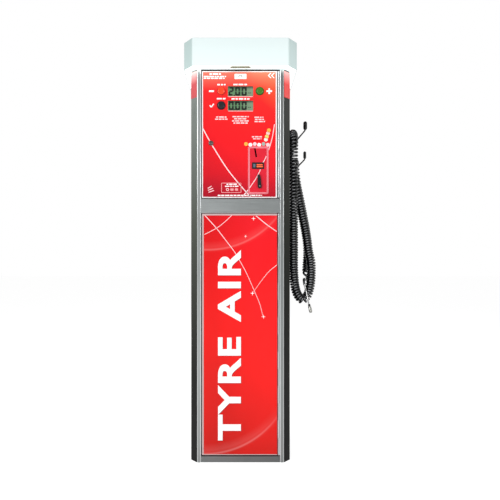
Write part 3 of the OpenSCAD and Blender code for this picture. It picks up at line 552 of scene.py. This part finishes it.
def frame_shape(x, z, w, h, r, line):
    inner_r = max(0.3, r - line)
    return between(round_rect(x, z, w, h, r), round_rect(x, z, w - 2 * line, h - 2 * line, inner_r))


def smooth_path(points, steps=10):
    """Catmull-Rom curve through the points."""
    vectors = [Vector(p) for p in points]
    padded = [2 * vectors[0] - vectors[1], *vectors, 2 * vectors[-1] - vectors[-2]]
    out = []
    for a, b, c, d in zip(padded, padded[1:], padded[2:], padded[3:]):
        for i in range(steps):
            t = i / steps
            square = (2 * a - 5 * b + 4 * c - d) * t * t
            cube = (3 * b - a - 3 * c + d) * t ** 3
            out.append(0.5 * ((2 * b) + (c - a) * t + square + cube))
    out.append(vectors[-1])
    return out


def tangents_of(path):
    last = len(path) - 1
    return [(path[min(i + 1, last)] - path[max(i - 1, 0)]).normalized() for i in range(last + 1)]


def ribbon(points, width, taper=0.0):
    """Band along a smooth path; taper narrows it towards its end."""
    path = smooth_path(points)
    left = []
    right = []
    for i, (p, along) in enumerate(zip(path, tangents_of(path))):
        half = width / 2 * (1 - taper * i / (len(path) - 1))
        across = Vector((-along.y, along.x)) * half
        left.append(p + across)
        right.append(p - across)
    return [[a, b, d, c] for a, b, c, d in zip(left, left[1:], right, right[1:])]


def word_row(x0, x1, z, height, seed):
    """A row of short bars that stands for a line of small print."""
    rng = random.Random(seed)
    shapes = []
    x = x0
    while x < x1 - height * 0.6:
        length = min(rng.uniform(1.2, 4.0) * height, x1 - x)
        shapes.append(round_rect(x + length / 2, z, length, height, height * 0.25, 3))
        x += length + 0.55 * height
    return shapes


def sparkle(x, z, r):
    """Four-pointed star."""
    return [polar(x, z, 0.22 * r if i % 2 else r, math.pi * i / 4) for i in range(8)]


def lathe(name, profile, origin, direction, look, body, steps=40):
    """Turned solid: profile is (radius, distance) pairs in millimetres along direction."""
    turn = Vector((0, 0, 1)).rotation_difference(Vector(direction).normalized()).to_matrix().to_4x4()
    place = Matrix.Translation(origin) @ turn
    bm = bmesh.new()
    rings = []
    for r, t in profile:
        if r < 1e-6:
            rings.append([bm.verts.new((0, 0, t * MM))])
            continue
        rings.append([
            bm.verts.new((*polar(0, 0, r * MM, 2 * math.pi * k / steps), t * MM)) for k in range(steps)
        ])
    for a, b in zip(rings, rings[1:]):
        for k in range(steps):
            n = (k + 1) % steps
            corners = [a[k % len(a)], a[n % len(a)], b[n % len(b)], b[k % len(b)]]
            bm.faces.new(list(dict.fromkeys(corners)))
    bm.transform(place)
    return mesh_piece(name, bm, look, body)


def torus(name, centre, normal, radius, line, look, body):
    ring = [polar(radius, 0, line, 2 * math.pi * k / 10) for k in range(11)]
    return lathe(name, ring, centre, normal, look, body)


def pipe(name, path, diameter, resolution, look, body):
    """Round pipe along a path in metres, as one open spline."""
    curve = bpy.data.curves.new(name, "CURVE")
    curve.dimensions = "3D"
    curve.bevel_depth = diameter * MM / 2
    curve.bevel_resolution = resolution
    curve.use_fill_caps = True
    spline = curve.splines.new("POLY")
    spline.points.add(len(path) - 1)
    for point, at in zip(spline.points, path):
        point.co = (*at, 1)
    return own(bpy.data.objects.new(name, curve), look, body)


# ---------- hose ----------

TUBE_D = 10.0
COIL_R = 15.0              # middle of the tube to the axis of the coil
FIRST_LEAD = 46.0          # length over which the first turn opens out
LAST_LEAD = 30.0           # and over which the last one closes
TURN_POINTS = 14
coil_route = [
    (222, 55, 1190), (222, 55, 1240), (223, 53, 1290), (225, 38, 1326),
    (226, 10, 1348), (226, -20, 1354), (226, -50, 1347), (225, -79, 1324),
    (224, -93, 1290), (223, -95, 1240), (223, -95, 1150), (223, -95, 1050),
    (223, -95, 950), (223, -95, 850), (223, -95, 780), (225, -95, 735),
    (231, -93, 690), (243, -88, 658), (263, -80, 640), (283, -74, 656),
    (294, -70, 684), (300, -66, 718), (302, -62, 756), (302, -56, 798),
    (293, -50, 842), (287, -46, 890), (277, -46, 949), (265, -46, 1005),
    (249, -46, 1087), (239, -46, 1150), (234, -47, 1195), (233, -41, 1222),
    (233, -20, 1233), (233, 1, 1222), (235, 7, 1195), (246, 6, 1140),
    (262, 6, 1071), (284, 6, 956), (293, 7, 894), (296, 8, 840),
    (294, 8, 798), (292, 8, 770), (291.5, 6.5, 760), (290.8, 2, 750.5),
    (290, -5, 743), (289, -16, 734)
]
tail_route = [
    (288.8, -18.2, 732.2), (286.5, -28, 725.5), (282.5, -40, 721), (277, -52, 722),
    (272.5, -63, 726), (269.5, -73, 726), (268.5, -80.5, 720), (269.8, -84.9, 707.6)
]
lance_top = Vector((270, -85, 706))
lance_end = Vector((291, -134, 592))


def ease(value, low, high):
    t = min(1.0, max(0.0, (value - low) / (high - low)))
    return t * t * (3 - 2 * t)


CLOSED_PITCH = 10.6        # distance between turns that touch


def coil_pitch(at, share):
    """Distance between turns: its own weight pulls the upper turns apart."""
    if share < 0.47:
        return CLOSED_PITCH + 3.6 * ease(at.z, 890, 1160)
    return CLOSED_PITCH + 3.0 * ease(at.z, 1010, 1150)


def helix_points():
    """The coil as a helix round the smooth route, with its turns evenly divided."""
    axis = smooth_path(coil_route, 30)
    tangents = tangents_of(axis)
    total = sum((b - a).length for a, b in zip(axis, axis[1:]))
    side = tangents[0].orthogonal().normalized()
    gone = 0.0
    angle = 0.0
    made = []
    dense = []
    for i, (at, along) in enumerate(zip(axis, tangents)):
        side = (side - side.dot(along) * along).normalized()
        if i:
            step = (at - axis[i - 1]).length
            gone += step
            bend = (along - tangents[i - 1]).length / max(step, 1e-6)
            room = max(0.25, 1 - COIL_R * bend)
            pitch = max(coil_pitch(at, gone / total), min(13.5, 8.0 / room))
            pitch += 80 * (1 - ease(gone, 8, FIRST_LEAD)) + 60 * (1 - ease(total - gone, 4, LAST_LEAD))
            angle += 2 * math.pi * step / pitch
        dense.append((angle, at, along, side.copy(), gone))
    turns = dense[-1][0] / (2 * math.pi)
    count = int(turns * TURN_POINTS)
    index = 0
    for k in range(count + 1):
        want = dense[-1][0] * k / count
        while index < len(dense) - 2 and dense[index + 1][0] < want:
            index += 1
        a, b = dense[index], dense[index + 1]
        t = (want - a[0]) / max(b[0] - a[0], 1e-9)
        at = a[1].lerp(b[1], t)
        along = a[2].lerp(b[2], t).normalized()
        across = a[3].lerp(b[3], t).normalized()
        far = a[4] + (b[4] - a[4]) * t
        radius = COIL_R * ease(far, 2, FIRST_LEAD) * ease(total - far, 0, LAST_LEAD)
        made.append(at + radius * (math.cos(want) * across + math.sin(want) * along.cross(across)))
    return made


def build_hose():
    """One open spline: the coil, the plain tail and 2 mm of tube inside the lance."""
    tail = smooth_path(tail_route, 6)
    inside = lance_top + 2 * (lance_end - lance_top).normalized()
    path = [p * MM for p in helix_points() + tail[1:] + [inside]]
    hose = pipe("air_hose", path, TUBE_D, 4, hose_rubber, CABINET)
    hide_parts("hose_coil", "hose_tail")
    length = sum((b - a).length for a, b in zip(path, path[1:]))
    return hose, length


def build_lance():
    """Ferrule ball, thin tube, black collar and the tyre chuck with its open mouth."""
    along = (lance_end - lance_top).normalized()
    mouth = (lance_end - lance_top).length
    start = lance_top * MM
    tube = lathe("lance_tube", [
        (0, 0), (3.4, 0.4), (4.6, 1.6), (5.0, 3.5), (4.6, 5.6), (3.4, 7.2), (3.0, 8.0), (3.0, 30),
        (3.3, 30.6), (3.3, 34), (3.0, 34.6), (3.0, 60), (3.0, 84), (3.4, 85), (3.4, 93), (0, 93)
    ], start, along, lance_metal, CABINET)
    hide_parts("lance")
    collar = lathe("lance_collar", [
        (0, 90), (4.4, 90.4), (5.0, 91.4), (5.0, 93), (4.6, 93.4), (5.0, 93.8), (5.0, 96), (4.6, 96.4),
        (5.0, 96.8), (5.0, 99.4), (4.4, 100.4), (0, 100.4)
    ], start, along, boot_rubber, CABINET)
    head = lathe("chuck_head", [
        (0, 99), (4.6, 99.4), (6.0, 100.6), (6.4, 102), (6.4, 106), (5.8, 106.6), (5.8, 107.6), (6.4, 108.2),
        (6.4, mouth - 6), (6.0, mouth - 2.4), (5.2, mouth - 0.6), (4.8, mouth - 0.2), (4.2, mouth - 0.4),
        (4.1, mouth - 2), (4.1, mouth - 14), (1.2, mouth - 14.4), (1.2, mouth - 11), (0, mouth - 10.6)
    ], start, along, chuck_metal, CABINET)
    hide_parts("chuck")
    return tube, collar, head


hose, hose_length = build_hose()
lance_parts = build_lance()
exit_point = Vector(coil_route[0]) * MM


# ---------- CAD nodes: material and softened edges ----------

FINISHES = {
    "left_stile": (steel_left, 0), "right_stile": (steel_right_shaded, 0), "top_rail": (steel_across, 0),
    "mid_rail": (steel_across, 0), "bottom_rail": (steel_foot_shaded, 0), "left_cladding": (casing_left_lit, 0.8),
    "right_cladding": (casing_right_shaded, 0.8), "back_panel": (casing, 0.3), "base_plate": (zinc, 0.5),
    "shelf": (zinc, 0.3), "roof_plate": (zinc, 0.5), "cash_tin": (zinc, 0.4),
    "power_supply": (zinc, 0.5), "left_band": (left_film, 0.1), "right_band": (right_film, 0.1),
    "canopy_shell": (acrylic, 3.0), "canopy_underside": (glow_sheet, 0.3),
    "canopy_lens": (lens_smoke, 0.6), "led_strips": (led_light, 0.3),
    "upper_hinge_frame": (hinge_steel, 0), "lower_hinge_frame": (hinge_steel, 0),
    "upper_hinge_door": (upper_leaf, 0), "lower_hinge_door": (lower_leaf, 0),
    "panel_screws": (chrome, 0.5), "fan_housing": (black_plastic, 0.6),
    "fan_rotor": (black_plastic, 0.3), "valve_block": (alloy, 1.0), "regulator": (alloy, 1.2),
    "regulator_knob": (black_plastic, 0.6), "air_pipes": (pipe_blue, 0), "air_tank": (tank_blue, 1.5),
    "compressor_motor": (motor_grey, 1.2), "compressor_pump": (alloy, 0.8),
    "cable_gland": (black_plastic, 0.5), "hose_outlet": (chrome, 0.5), "upper_hook": (black_paint, 0.5),
    "lower_hook": (black_paint, 0.5), "hook_tips": (vinyl, 0), "upper_door_pan": (white_paint, 0.5),
    "lower_door_pan": (shaded_paint, 0.5), "upper_decor": (upper_print, 0.2),
    "lower_decor": (lower_print, 0.2), "display_upper": (lcd_looks["display_upper"], 0.4),
    "control_board": (board_green, 0.2), "display_lower": (lcd_looks["display_lower"], 0.4),
    "button_bezels": (bezel, 0.5), "red_button": (red_cap, 1.6), "green_button": (green_cap, 1.6),
    "black_button": (black_cap, 1.6), "coin_plate": (plate_print, 0.5),
    "coin_frame": (black_plastic, 0.7), "coin_button": (blue_cap, 0.9),
    "coin_validator": (black_plastic, 1.0), "reject_lever": (black_plastic, 1.4),
    "lock_barrel": (lock_metal, 0.6), "lock_plug": (lock_metal, 0.3)
}
for name, (look, width) in FINISHES.items():
    part = node[name]
    part.data.materials.clear()
    part.data.materials.append(look.mat)
    if width:
        soften(part, width * MM)


# ---------- upper door: print, displays, controls ----------

up_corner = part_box("upper_decor")[0]
UP_Y = up_corner[1]
UP_Z = up_corner[2] / MM   # print is placed in millimetres above this edge


def on_upper(name, shapes, look, forward=0.0):
    """Print on the upper panel: (x, height above the panel's lower edge).

    forward lifts it over other print, in millimetres.
    """
    raised = [[(x, z + UP_Z) for x, z in shape] for shape in shapes]
    decal(name, raised, UP_Y - forward * MM, look, UPPER)


def upper_lines():
    left = [(-150, 272), (-118, 214), (-64, 127), (-30, 81), (18, 24), (40, 1)]
    right = [(136, 290), (129, 247), (120, 210), (109, 180), (103, 162)]
    on_upper("sweep_left", ribbon(left, 3.9), pale_ink)
    on_upper("sweep_right", ribbon(right, 3.4), rose_ink)
    on_upper("sweep_foot", ribbon([(34, 33), (26, 22), (8, 1)], 3.4), pale_ink)
    on_upper("foot_print", word_row(-91, 86, 5.5, 4.6, 11), white_ink)


def upper_texts():
    """Lines of small print as (first x, last x, height, size of the bars, seed)."""
    rows = [
        (-124, -78, 491, 6, 1), (-147, -58, 481, 5, 2), (-147, -58, 474, 5, 3), (-93, -60, 448.5, 6, 4),
        (-29, 26, 449, 6, 5), (-95, -60, 392.5, 6, 6), (-36, 36, 391.5, 6, 7), (-98, -52, 319, 5, 8),
        (-102, -52, 310.5, 5, 9), (-32, 33, 320.5, 5, 10), (-26, 28, 312, 5, 12), (-34, 35, 303.5, 5, 13),
        (-28, 29, 295, 5, 14), (56, 92, 318, 5, 15), (58, 94, 309.5, 5, 16), (56, 98, 301, 5, 17),
        (46, 90, 240, 5, 18), (50, 84, 232, 4, 19)
    ]
    for name, look, low, high in (
        ("small_print", white_ink, 350, 500), ("small_print_low", rose_ink, 220, 350)
    ):
        shapes = []
        for x0, x1, z, height, seed in rows:
            if low < z < high:
                shapes += word_row(x0, x1, z, height, seed)
        on_upper(name, shapes, look)


def upper_marks():
    """Signs beside the displays, the head plate with its dial, arrows and corner strokes."""
    row_1 = middle("display_upper", 2) - UP_Z
    row_2 = middle("display_lower", 2) - UP_Z
    arm = 23
    bar = 7
    half_arms = [rect(115, row_1 + way * (arm + bar) / 4, bar, (arm - bar) / 2) for way in (1, -1)]
    on_upper("plus_mark", [rect(115, row_1, arm, bar), *half_arms], white_ink)
    on_upper("minus_mark", [rect(-116, row_1, 20, bar)], white_ink)
    on_upper("tick_mark", ribbon([(-123, row_2 + 1), (-117, row_2 - 5), (-107, row_2 + 7)], 4.5), white_ink)
    on_upper("head_plate", [round_rect(0, 481.5, 48, 21, 2.5)], white_ink)
    dial = disc(0, 479, 8.5, 24, 0, 180) + disc(0, 479, 5.5, 24, 180, -180)
    needle = [(-1, 477), (1, 477), (5, 484), (4, 485)]
    on_upper("head_dial", [dial, needle], grey_ink, 0.2)
    arrows = []
    for x in (109, 122):
        tip, back, line = x, x + 10, 5
        arrows += [[(tip, 485), (back, 495), (back + line, 495), (tip + line, 485)],
                   [(tip, 485), (tip + line, 485), (back + line, 475), (back, 475)]]
    on_upper("arrow_mark", arrows, white_ink)
    slashes = []
    for i, (x, z, length) in enumerate(((-131, 34, 15), (-130, 26, 20), (-128, 18, 22))):
        slashes += ribbon([(x, z), (x + length / 2, z + 3.5), (x + length, z + 9 - i)], 3.4)
    on_upper("corner_mark", slashes, rose_ink)


def upper_label():
    """Framed box with two rows of print and a row of small pictures."""
    on_upper("label_frame", frame_shape(-37, 36, 80, 40, 4, 2.2), pink_print_and_highlight)
    rows = word_row(-56, -14, 50, 4.6, 21) + word_row(-62, -8, 42, 4.6, 22)
    on_upper("label_print", rows, white_ink)
    on_upper("label_ring", between(disc(-52, 29, 6.0), disc(-52, 29, 3.4)), rose_ink)
    on_upper("label_block", [round_rect(-34, 29, 13, 9, 3), round_rect(-16, 29, 12, 9, 1)], pink_print_and_highlight)


COIN_R = 7.6


def upper_coins():
    """A slanting stack and a row of plain discs that stand for coins."""
    for i, look in enumerate((gold_ink, rose_ink, lime_ink, white_ink)):
        x = 113.5 - 4 * i
        z = (266, 253.5, 241, 229)[i]
        on_upper(f"coin_print_{i}", [disc(x, z, COIN_R)], look)
        on_upper(f"coin_print_ring_{i}", between(disc(x, z, 5.4), disc(x, z, 4.4)), gold_ink, 0.18)
    for i, look in enumerate((gold_ink, white_ink, rose_ink, white_ink, grey_ink, rose_ink)):
        on_upper(f"coin_row_{i}", [disc(22 + 17.5 * i, 211 - 3 * (i % 2), COIN_R)], look)


SEGMENTS = {"0": "abcdef", "2": "abged"}


def digit(character, x, z, w, h, line):
    """Seven-segment digit, centred at x and z."""
    gap = 0.2
    flat = w - line - gap
    long = h / 2 - gap
    left = x - w / 2 + line / 2
    right = x + w / 2 - line / 2
    places = {
        "a": (x, z + h / 2 - line / 2, flat, line), "d": (x, z - h / 2 + line / 2, flat, line),
        "g": (x, z, flat, line), "f": (left, z + h / 4, line, long), "b": (right, z + h / 4, line, long),
        "e": (left, z - h / 4, line, long), "c": (right, z - h / 4, line, long)
    }
    tip = line / 3
    shapes = []
    for key in SEGMENTS[character]:
        cx, cz, sw, sh = places[key]
        x0, x1, z0, z1 = cx - sw / 2, cx + sw / 2, cz - sh / 2, cz + sh / 2
        if sw > sh:
            shape = [(x0, cz), (x0 + tip, z0), (x1 - tip, z0), (x1, cz), (x1 - tip, z1), (x0 + tip, z1)]
        else:
            shape = [(cx, z0), (x1, z0 + tip), (x1, z1 - tip), (cx, z1), (x0, z1 - tip), (x0, z0 + tip)]
        shapes.append(shape)
    return shapes


def display_face(name, digits):
    """Dark digits, a unit mark and the bright line below the glass."""
    x = middle(name, 0)
    z = middle(name, 2)
    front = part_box(name)[0][1]
    shapes = []
    for i, character in enumerate(digits):
        shapes += digit(character, x - 37.5 + 26 * i, z - 0.6, 20.8, 35, 7.2)
    shapes.append(rect(x - 24.5, z - 16.2, 4.6, 4.2))
    decal(f"{name}_digits", shapes, front, lcd_ink, UPPER)
    decal(f"{name}_unit", word_row(x + 31, x + 44, z - 7, 3.2, 31), front, lcd_ink, UPPER)
    decal(f"{name}_line", [rect(x, z - LCD_H / 2 - 2.6, LCD_W - 2, 2.0)], UP_Y, rose_ink, UPPER)


def button_details():
    """Dished faces on the caps, so that each catches the light."""
    dome = [
        (0, 0.2), (3, 0.1), (6, -0.2), (10, -0.5), (11.8, -0.2), (12.6, 0.4), (12.0, 1.5), (0, 1.5)
    ]
    for color, look in (("red", red_cap), ("green", green_cap), ("black", black_cap)):
        body = color + "_button"
        lo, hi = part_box(body)
        centre = Vector(((lo[0] + hi[0]) / 2, lo[1], (lo[2] + hi[2]) / 2))
        lathe(f"{body}_dome", dome, centre, (0, 1, 0), look, body)


def coin_unit():
    """Rims on the coin plate, painted as highlights of its raised edges, its sweeps, the amber window and the
    reject lever's boss.
    """
    lo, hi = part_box("coin_plate")
    x = middle("coin_plate", 0)
    z = middle("coin_plate", 2)
    w = (hi[0] - lo[0]) / MM
    h = (hi[2] - lo[2]) / MM
    # painted highlight: pale frames along the coin plate's raised edges
    decal("coin_plate_rim", frame_shape(x, z, w - 3, h - 3, 6, 4.2), lo[1], plate_edge_highlight, UPPER)
    edges = frame_shape(x, z, w - 0.6, h - 0.6, 6.8, 1.0) + frame_shape(x, z, w - 11.0, h - 11.0, 3.5, 1.2)
    decal("coin_plate_edges", edges, lo[1] - 0.18 * MM, pink_print_and_highlight, UPPER)
    sweep_top = ribbon([(103, 1225), (97, 1211), (89, 1198)], 3.2)
    decal("plate_sweep_top", sweep_top, lo[1], rose_ink, UPPER)
    sweep = ribbon([(80, 1172), (70, 1151), (58, 1130), (36, 1098)], 3.4)
    decal("plate_sweep", sweep, lo[1] - 0.2 * MM, rose_ink, UPPER)
    fx = middle("coin_frame", 0)
    fz = middle("coin_frame", 2)
    window_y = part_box("coin_frame")[0][1] + 0.95 * MM
    decal("coin_window", [rect(fx + 6.5, fz, 26.6, 14.6)], window_y, amber_dark, UPPER)
    bars = [rect(fx + 6.5, fz + 4, 23, 3.4), rect(fx + 6.5, fz - 3.6, 23, 4.6)]
    decal("coin_window_bars", bars, window_y - 0.15 * MM, amber, UPPER)
    l_lo, l_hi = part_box("reject_lever")
    tip = Vector((l_hi[0] - 8 * MM, l_lo[1], l_lo[2] + 10 * MM))
    boss = [(3.2, 0), (3.0, 0.3), (2.2, 0.8), (0, 0.9)]
    lathe("lever_boss", boss, tip, (0, -1, 0), lock_metal, "reject_lever", 24)


upper_lines()
upper_texts()
upper_marks()
upper_label()
upper_coins()
display_face("display_upper", "200")
display_face("display_lower", "000")
button_details()
coin_unit()


# ---------- lower door: lettering and lines ----------

LOW_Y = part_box("lower_decor")[0][1]


def lettering(name, text, low, high, y, look, thick=0.1):
    """Upright bold words that read from bottom to top and fill the given box."""
    font = bpy.data.curves.new(name, "FONT")
    font.body = text
    font.offset = 0.03
    font.extrude = 0.001
    font.space_character = 1.13
    font.body_format[0].kerning = 0.09
    font.resolution_u = 6
    source = bpy.data.objects.new(name + "_source", font)
    bpy.context.collection.objects.link(source)
    bpy.context.view_layer.update()
    shown = source.evaluated_get(bpy.context.evaluated_depsgraph_get())
    mesh = bpy.data.meshes.new_from_object(shown)
    bpy.data.objects.remove(source)
    xs = [v.co.x for v in mesh.vertices]
    ys = [v.co.y for v in mesh.vertices]
    zs = [v.co.z for v in mesh.vertices]
    long = (high[1] - low[1]) / (max(xs) - min(xs))
    tall = (high[0] - low[0]) / (max(ys) - min(ys))
    for v in mesh.vertices:
        along = low[1] + (v.co.x - min(xs)) * long
        across = high[0] - (v.co.y - min(ys)) * tall
        forward = thick * MM if v.co.z >= (min(zs) + max(zs)) / 2 else 0
        v.co = (across, y - forward, along)
    piece = bpy.data.objects.new(name, mesh)
    bm = bmesh.new()
    bm.from_mesh(mesh)
    bmesh.ops.remove_doubles(bm, verts=bm.verts[:], dist=1e-6)
    bmesh.ops.recalc_face_normals(bm, faces=bm.faces[:])
    bm.to_mesh(mesh)
    bm.free()
    return own(piece, look, LOWER, smooth=False)


WORDS_LOW = (-0.0905, 0.088)
WORDS_HIGH = (0.0015, 0.850)
SHADE = 0.0018             # offset of the darker red edge behind the words
lettering("door_lettering", "TYRE AIR", WORDS_LOW, WORDS_HIGH, LOW_Y - 0.12 * MM, white_ink)
lettering("door_lettering_edge", "TYRE AIR", (WORDS_LOW[0] + SHADE, WORDS_LOW[1] - SHADE),
          (WORDS_HIGH[0] + SHADE, WORDS_HIGH[1] - SHADE), LOW_Y - 0.01 * MM, dark_red_ink, 0.06)
for name, width, taper, path in (
    ("arc_long", 3.2, 0.5, [(-143, 989), (-97, 938), (-59, 889), (-25, 844), (0, 802), (27, 751),
                            (55, 687), (77, 634), (89, 587)]),
    ("arc_corner", 2.4, 0, [(-144, 912), (-95, 938), (-60, 965), (-35, 989)]),
    ("arc_right", 3.2, 0, [(62, 987), (92, 962), (120, 941), (145, 924)]),
    ("arc_cross", 2.4, 0.5, [(145, 790), (112, 762), (80, 722), (50, 680)])
):
    decal(name, ribbon(path, width, taper), LOW_Y, rose_ink, LOWER)
stars = [sparkle(52, 976, 9), sparkle(48, 677, 10), sparkle(92, 583, 9), sparkle(20, 905, 6)]
decal("sparkles", stars, LOW_Y, white_ink, LOWER)


# ---------- cabinet details ----------

RIVET = [(3.4, 0), (3.2, 0.3), (2.2, 0.8), (0, 1.0)]
CAP_SCREW = [(5.4, 0), (5.2, 0.5), (3.5, 1.2), (0, 1.4)]
SEAT = 0.9998              # sinks a screw head's foot a little into the canopy


def casing_details():
    """Rivets down the sides, and the fan guard and louvre lips on the back."""
    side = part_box("right_cladding")[1][0]
    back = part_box("back_panel")[1][1]
    for s in (-1, 1):
        for i, z in enumerate((60, 320, 580, 840, 1100, 1360)):
            for j, y in enumerate((-150, 180)):
                at = (s * side, y * MM, z * MM)
                lathe(f"rivet_{s + 1}_{i}_{j}", RIVET, at, (s, 0, 0), casing, CABINET, 16)
    f_lo, f_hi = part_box("fan_housing")
    centre = Vector((0, back + 2.5 * MM, (f_lo[2] + f_hi[2]) / 2))
    for i, r in enumerate((14, 26, 38, 50, 60)):
        torus(f"guard_ring_{i}", centre, (0, 1, 0), r, 1.4, chrome, CABINET)
    for i in range(4):
        a = math.radians(45 + 90 * i)
        arm = Vector((math.cos(a), 0, math.sin(a)))
        hub = centre + Vector((0, -1.2 * MM, 0))
        rod = [(0, 0), (1.4, 0), (1.4, 66), (0, 66)]
        lathe(f"guard_arm_{i}", rod, hub, arm, chrome, CABINET, 12)
    for bank, (z0, count) in enumerate(((120, 12), (760, 6))):
        for i in range(count):
            z = (z0 + 18 * i + 6) * MM
            bm = bmesh.new()
            section = [(0, 0), (6, -5), (6, -6), (0, -1.2)]
            ends = [
                [bm.verts.new((x * MM, back + dy * MM, z + dz * MM)) for dy, dz in section] for x in (-92, 92)
            ]
            for k in range(4):
                bm.faces.new([ends[0][k], ends[0][(k + 1) % 4], ends[1][(k + 1) % 4], ends[1][k]])
            bm.faces.new(ends[0])
            bm.faces.new(ends[1][::-1])
            mesh_piece(f"louvre_{bank}_{i}", bm, casing, CABINET, smooth=False)


def canopy_details():
    """Cap screws on the sides and back."""
    lo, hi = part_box("canopy_shell")
    level = lo[2] + 22 * MM
    for s in (-1, 1):
        for i, y in enumerate((-120, 40, 190)):
            at = (s * hi[0] * SEAT, y * MM, level)
            lathe(f"canopy_screw_{s + 1}_{i}", CAP_SCREW, at, (s, 0, 0), chrome, CABINET, 24)
    for i, x in enumerate((-150, 0, 150)):
        at = (x * MM, hi[1] * SEAT, level)
        lathe(f"canopy_screw_back_{i}", CAP_SCREW, at, (0, 1, 0), chrome, CABINET, 24)


def outlet_boot():
    """Ribbed rubber sleeve where the hose leaves its elbow."""
    profile = [(0, 0)]
    ribs = 6
    height = 26
    for i in range(ribs):
        t = i / ribs
        r = 11.2 - 4.2 * t
        for inset, share in ((0, 0), (0, 0.6), (1.4, 0.7), (1.5, 0.95)):
            profile.append((r - inset, height * (t + share / ribs)))
    profile += [(5.2, height), (0, height)]
    foot = exit_point - Vector((0, 0, (height - 1) * MM))
    lathe("outlet_boot", profile, foot, (0, 0, 1), boot_rubber, CABINET)


def looms():
    """Cables inside: from the board to the displays and coin checker, and in the cabinet."""
    runs = {
        "loom_validator": (UPPER, 7, (60, -145, 1405), (70, -142, 1370), (66, -140, 1320), (66, -142, 1266)),
        "loom_lock_side": (UPPER, 4, (-70, -160, 1400), (-85, -150, 1385), (-88, -140, 1400)),
        "loom_supply": (CABINET, 6, (-110, 150, 1330), (-112, 140, 1380), (-60, 150, 1420), (-45, 155, 1425)),
        "loom_valves": (CABINET, 5, (-62, 160, 1200), (-48, 145, 1215), (-12, 150, 1250), (-6, 158, 1258)),
        "loom_mains": (CABINET, 11, (-120, 120, 36), (-120, 121, 300), (-150, 150, 700), (-150, 150, 1024),
                       (-148, 152, 1139))
    }
    for name, (body, diameter, *points) in runs.items():
        path = [at * MM for at in smooth_path(points, 6)]
        pipe(name, path, diameter, 3, black_plastic, body)


def gap_shade_strips():
    """Black strips in the gaps round both doors: dark sheets as painted shade where the gaps lie in shadow.
    """
    strips = [rect(0, 1570.6, 316, 7.6), rect(0, 1057.5, 308, 2.2), rect(0, 997.6, 308, 2.0)]
    for name in ("upper_door_pan", "lower_door_pan"):
        lo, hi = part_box(name)
        level = middle(name, 2)
        height = (hi[2] - lo[2]) / MM
        strips.append(rect(-156.5, level, 3.0, height))
        strips.append(rect(154.2, level, 7.4, height))
    # painted shade: black sheets for the dark gaps round the doors
    decal("gap_shade_strips", strips, -0.1905, boot_rubber, CABINET, thick=1.6 * MM)


casing_details()
gap_shade_strips()
canopy_details()
outlet_boot()
looms()


# ---------- floor and light ----------

def floor():
    made = Look("pale_floor", (0.55, 0.55, 0.55), 0.85, Emission_Color=(1, 1, 1, 1), Emission_Strength=0.8)
    made.mottle((2, 2, 2), 0.02)
    mesh = bpy.data.meshes.new("floor")
    far = 14
    mesh.from_pydata([(-far, -far, 0), (far, -far, 0), (far, far, 0), (-far, far, 0)], [], [(0, 1, 2, 3)])
    obj = bpy.data.objects.new("floor", mesh)
    bpy.context.collection.objects.link(obj)
    obj.data.materials.append(made.mat)


def area(name, at, towards, size, power):
    data = bpy.data.lights.new(name, "AREA")
    data.shape = "RECTANGLE"
    data.size, data.size_y = size
    data.energy = power
    light = bpy.data.objects.new(name, data)
    bpy.context.collection.objects.link(light)
    light.location = at
    light.rotation_euler = (Vector(towards) - Vector(at)).to_track_quat("-Z", "Y").to_euler()


def sky(shown, lighting):
    """White studio: shown is what the camera sees, lighting is what falls on the column."""
    world = bpy.data.worlds.new("studio")
    bpy.context.scene.world = world
    world.use_nodes = True
    tree = world.node_tree
    path = tree.nodes.new("ShaderNodeLightPath")
    level = tree.nodes.new("ShaderNodeMapRange")
    level.inputs["To Min"].default_value = lighting
    level.inputs["To Max"].default_value = shown
    tree.links.new(path.outputs["Is Camera Ray"], level.inputs["Value"])
    background = tree.nodes["Background"]
    background.inputs["Color"].default_value = (1, 1, 1, 1)
    tree.links.new(level.outputs["Result"], background.inputs["Strength"])


floor()
sky(1.0, 0.32)
area("key", (-2.3, -2.7, 2.3), (0, 0, 1.0), (1.2, 1.2), 70)
area("fill", (2.1, -3.0, 1.7), (0, 0, 0.8), (1.2, 1.4), 34)
area("side", (2.6, 0.3, 2.2), (0.2, 0, 1.0), (1.0, 1.6), 12)
area("back", (-0.8, 3.0, 2.4), (0, 0, 1.0), (2.0, 1.6), 60)
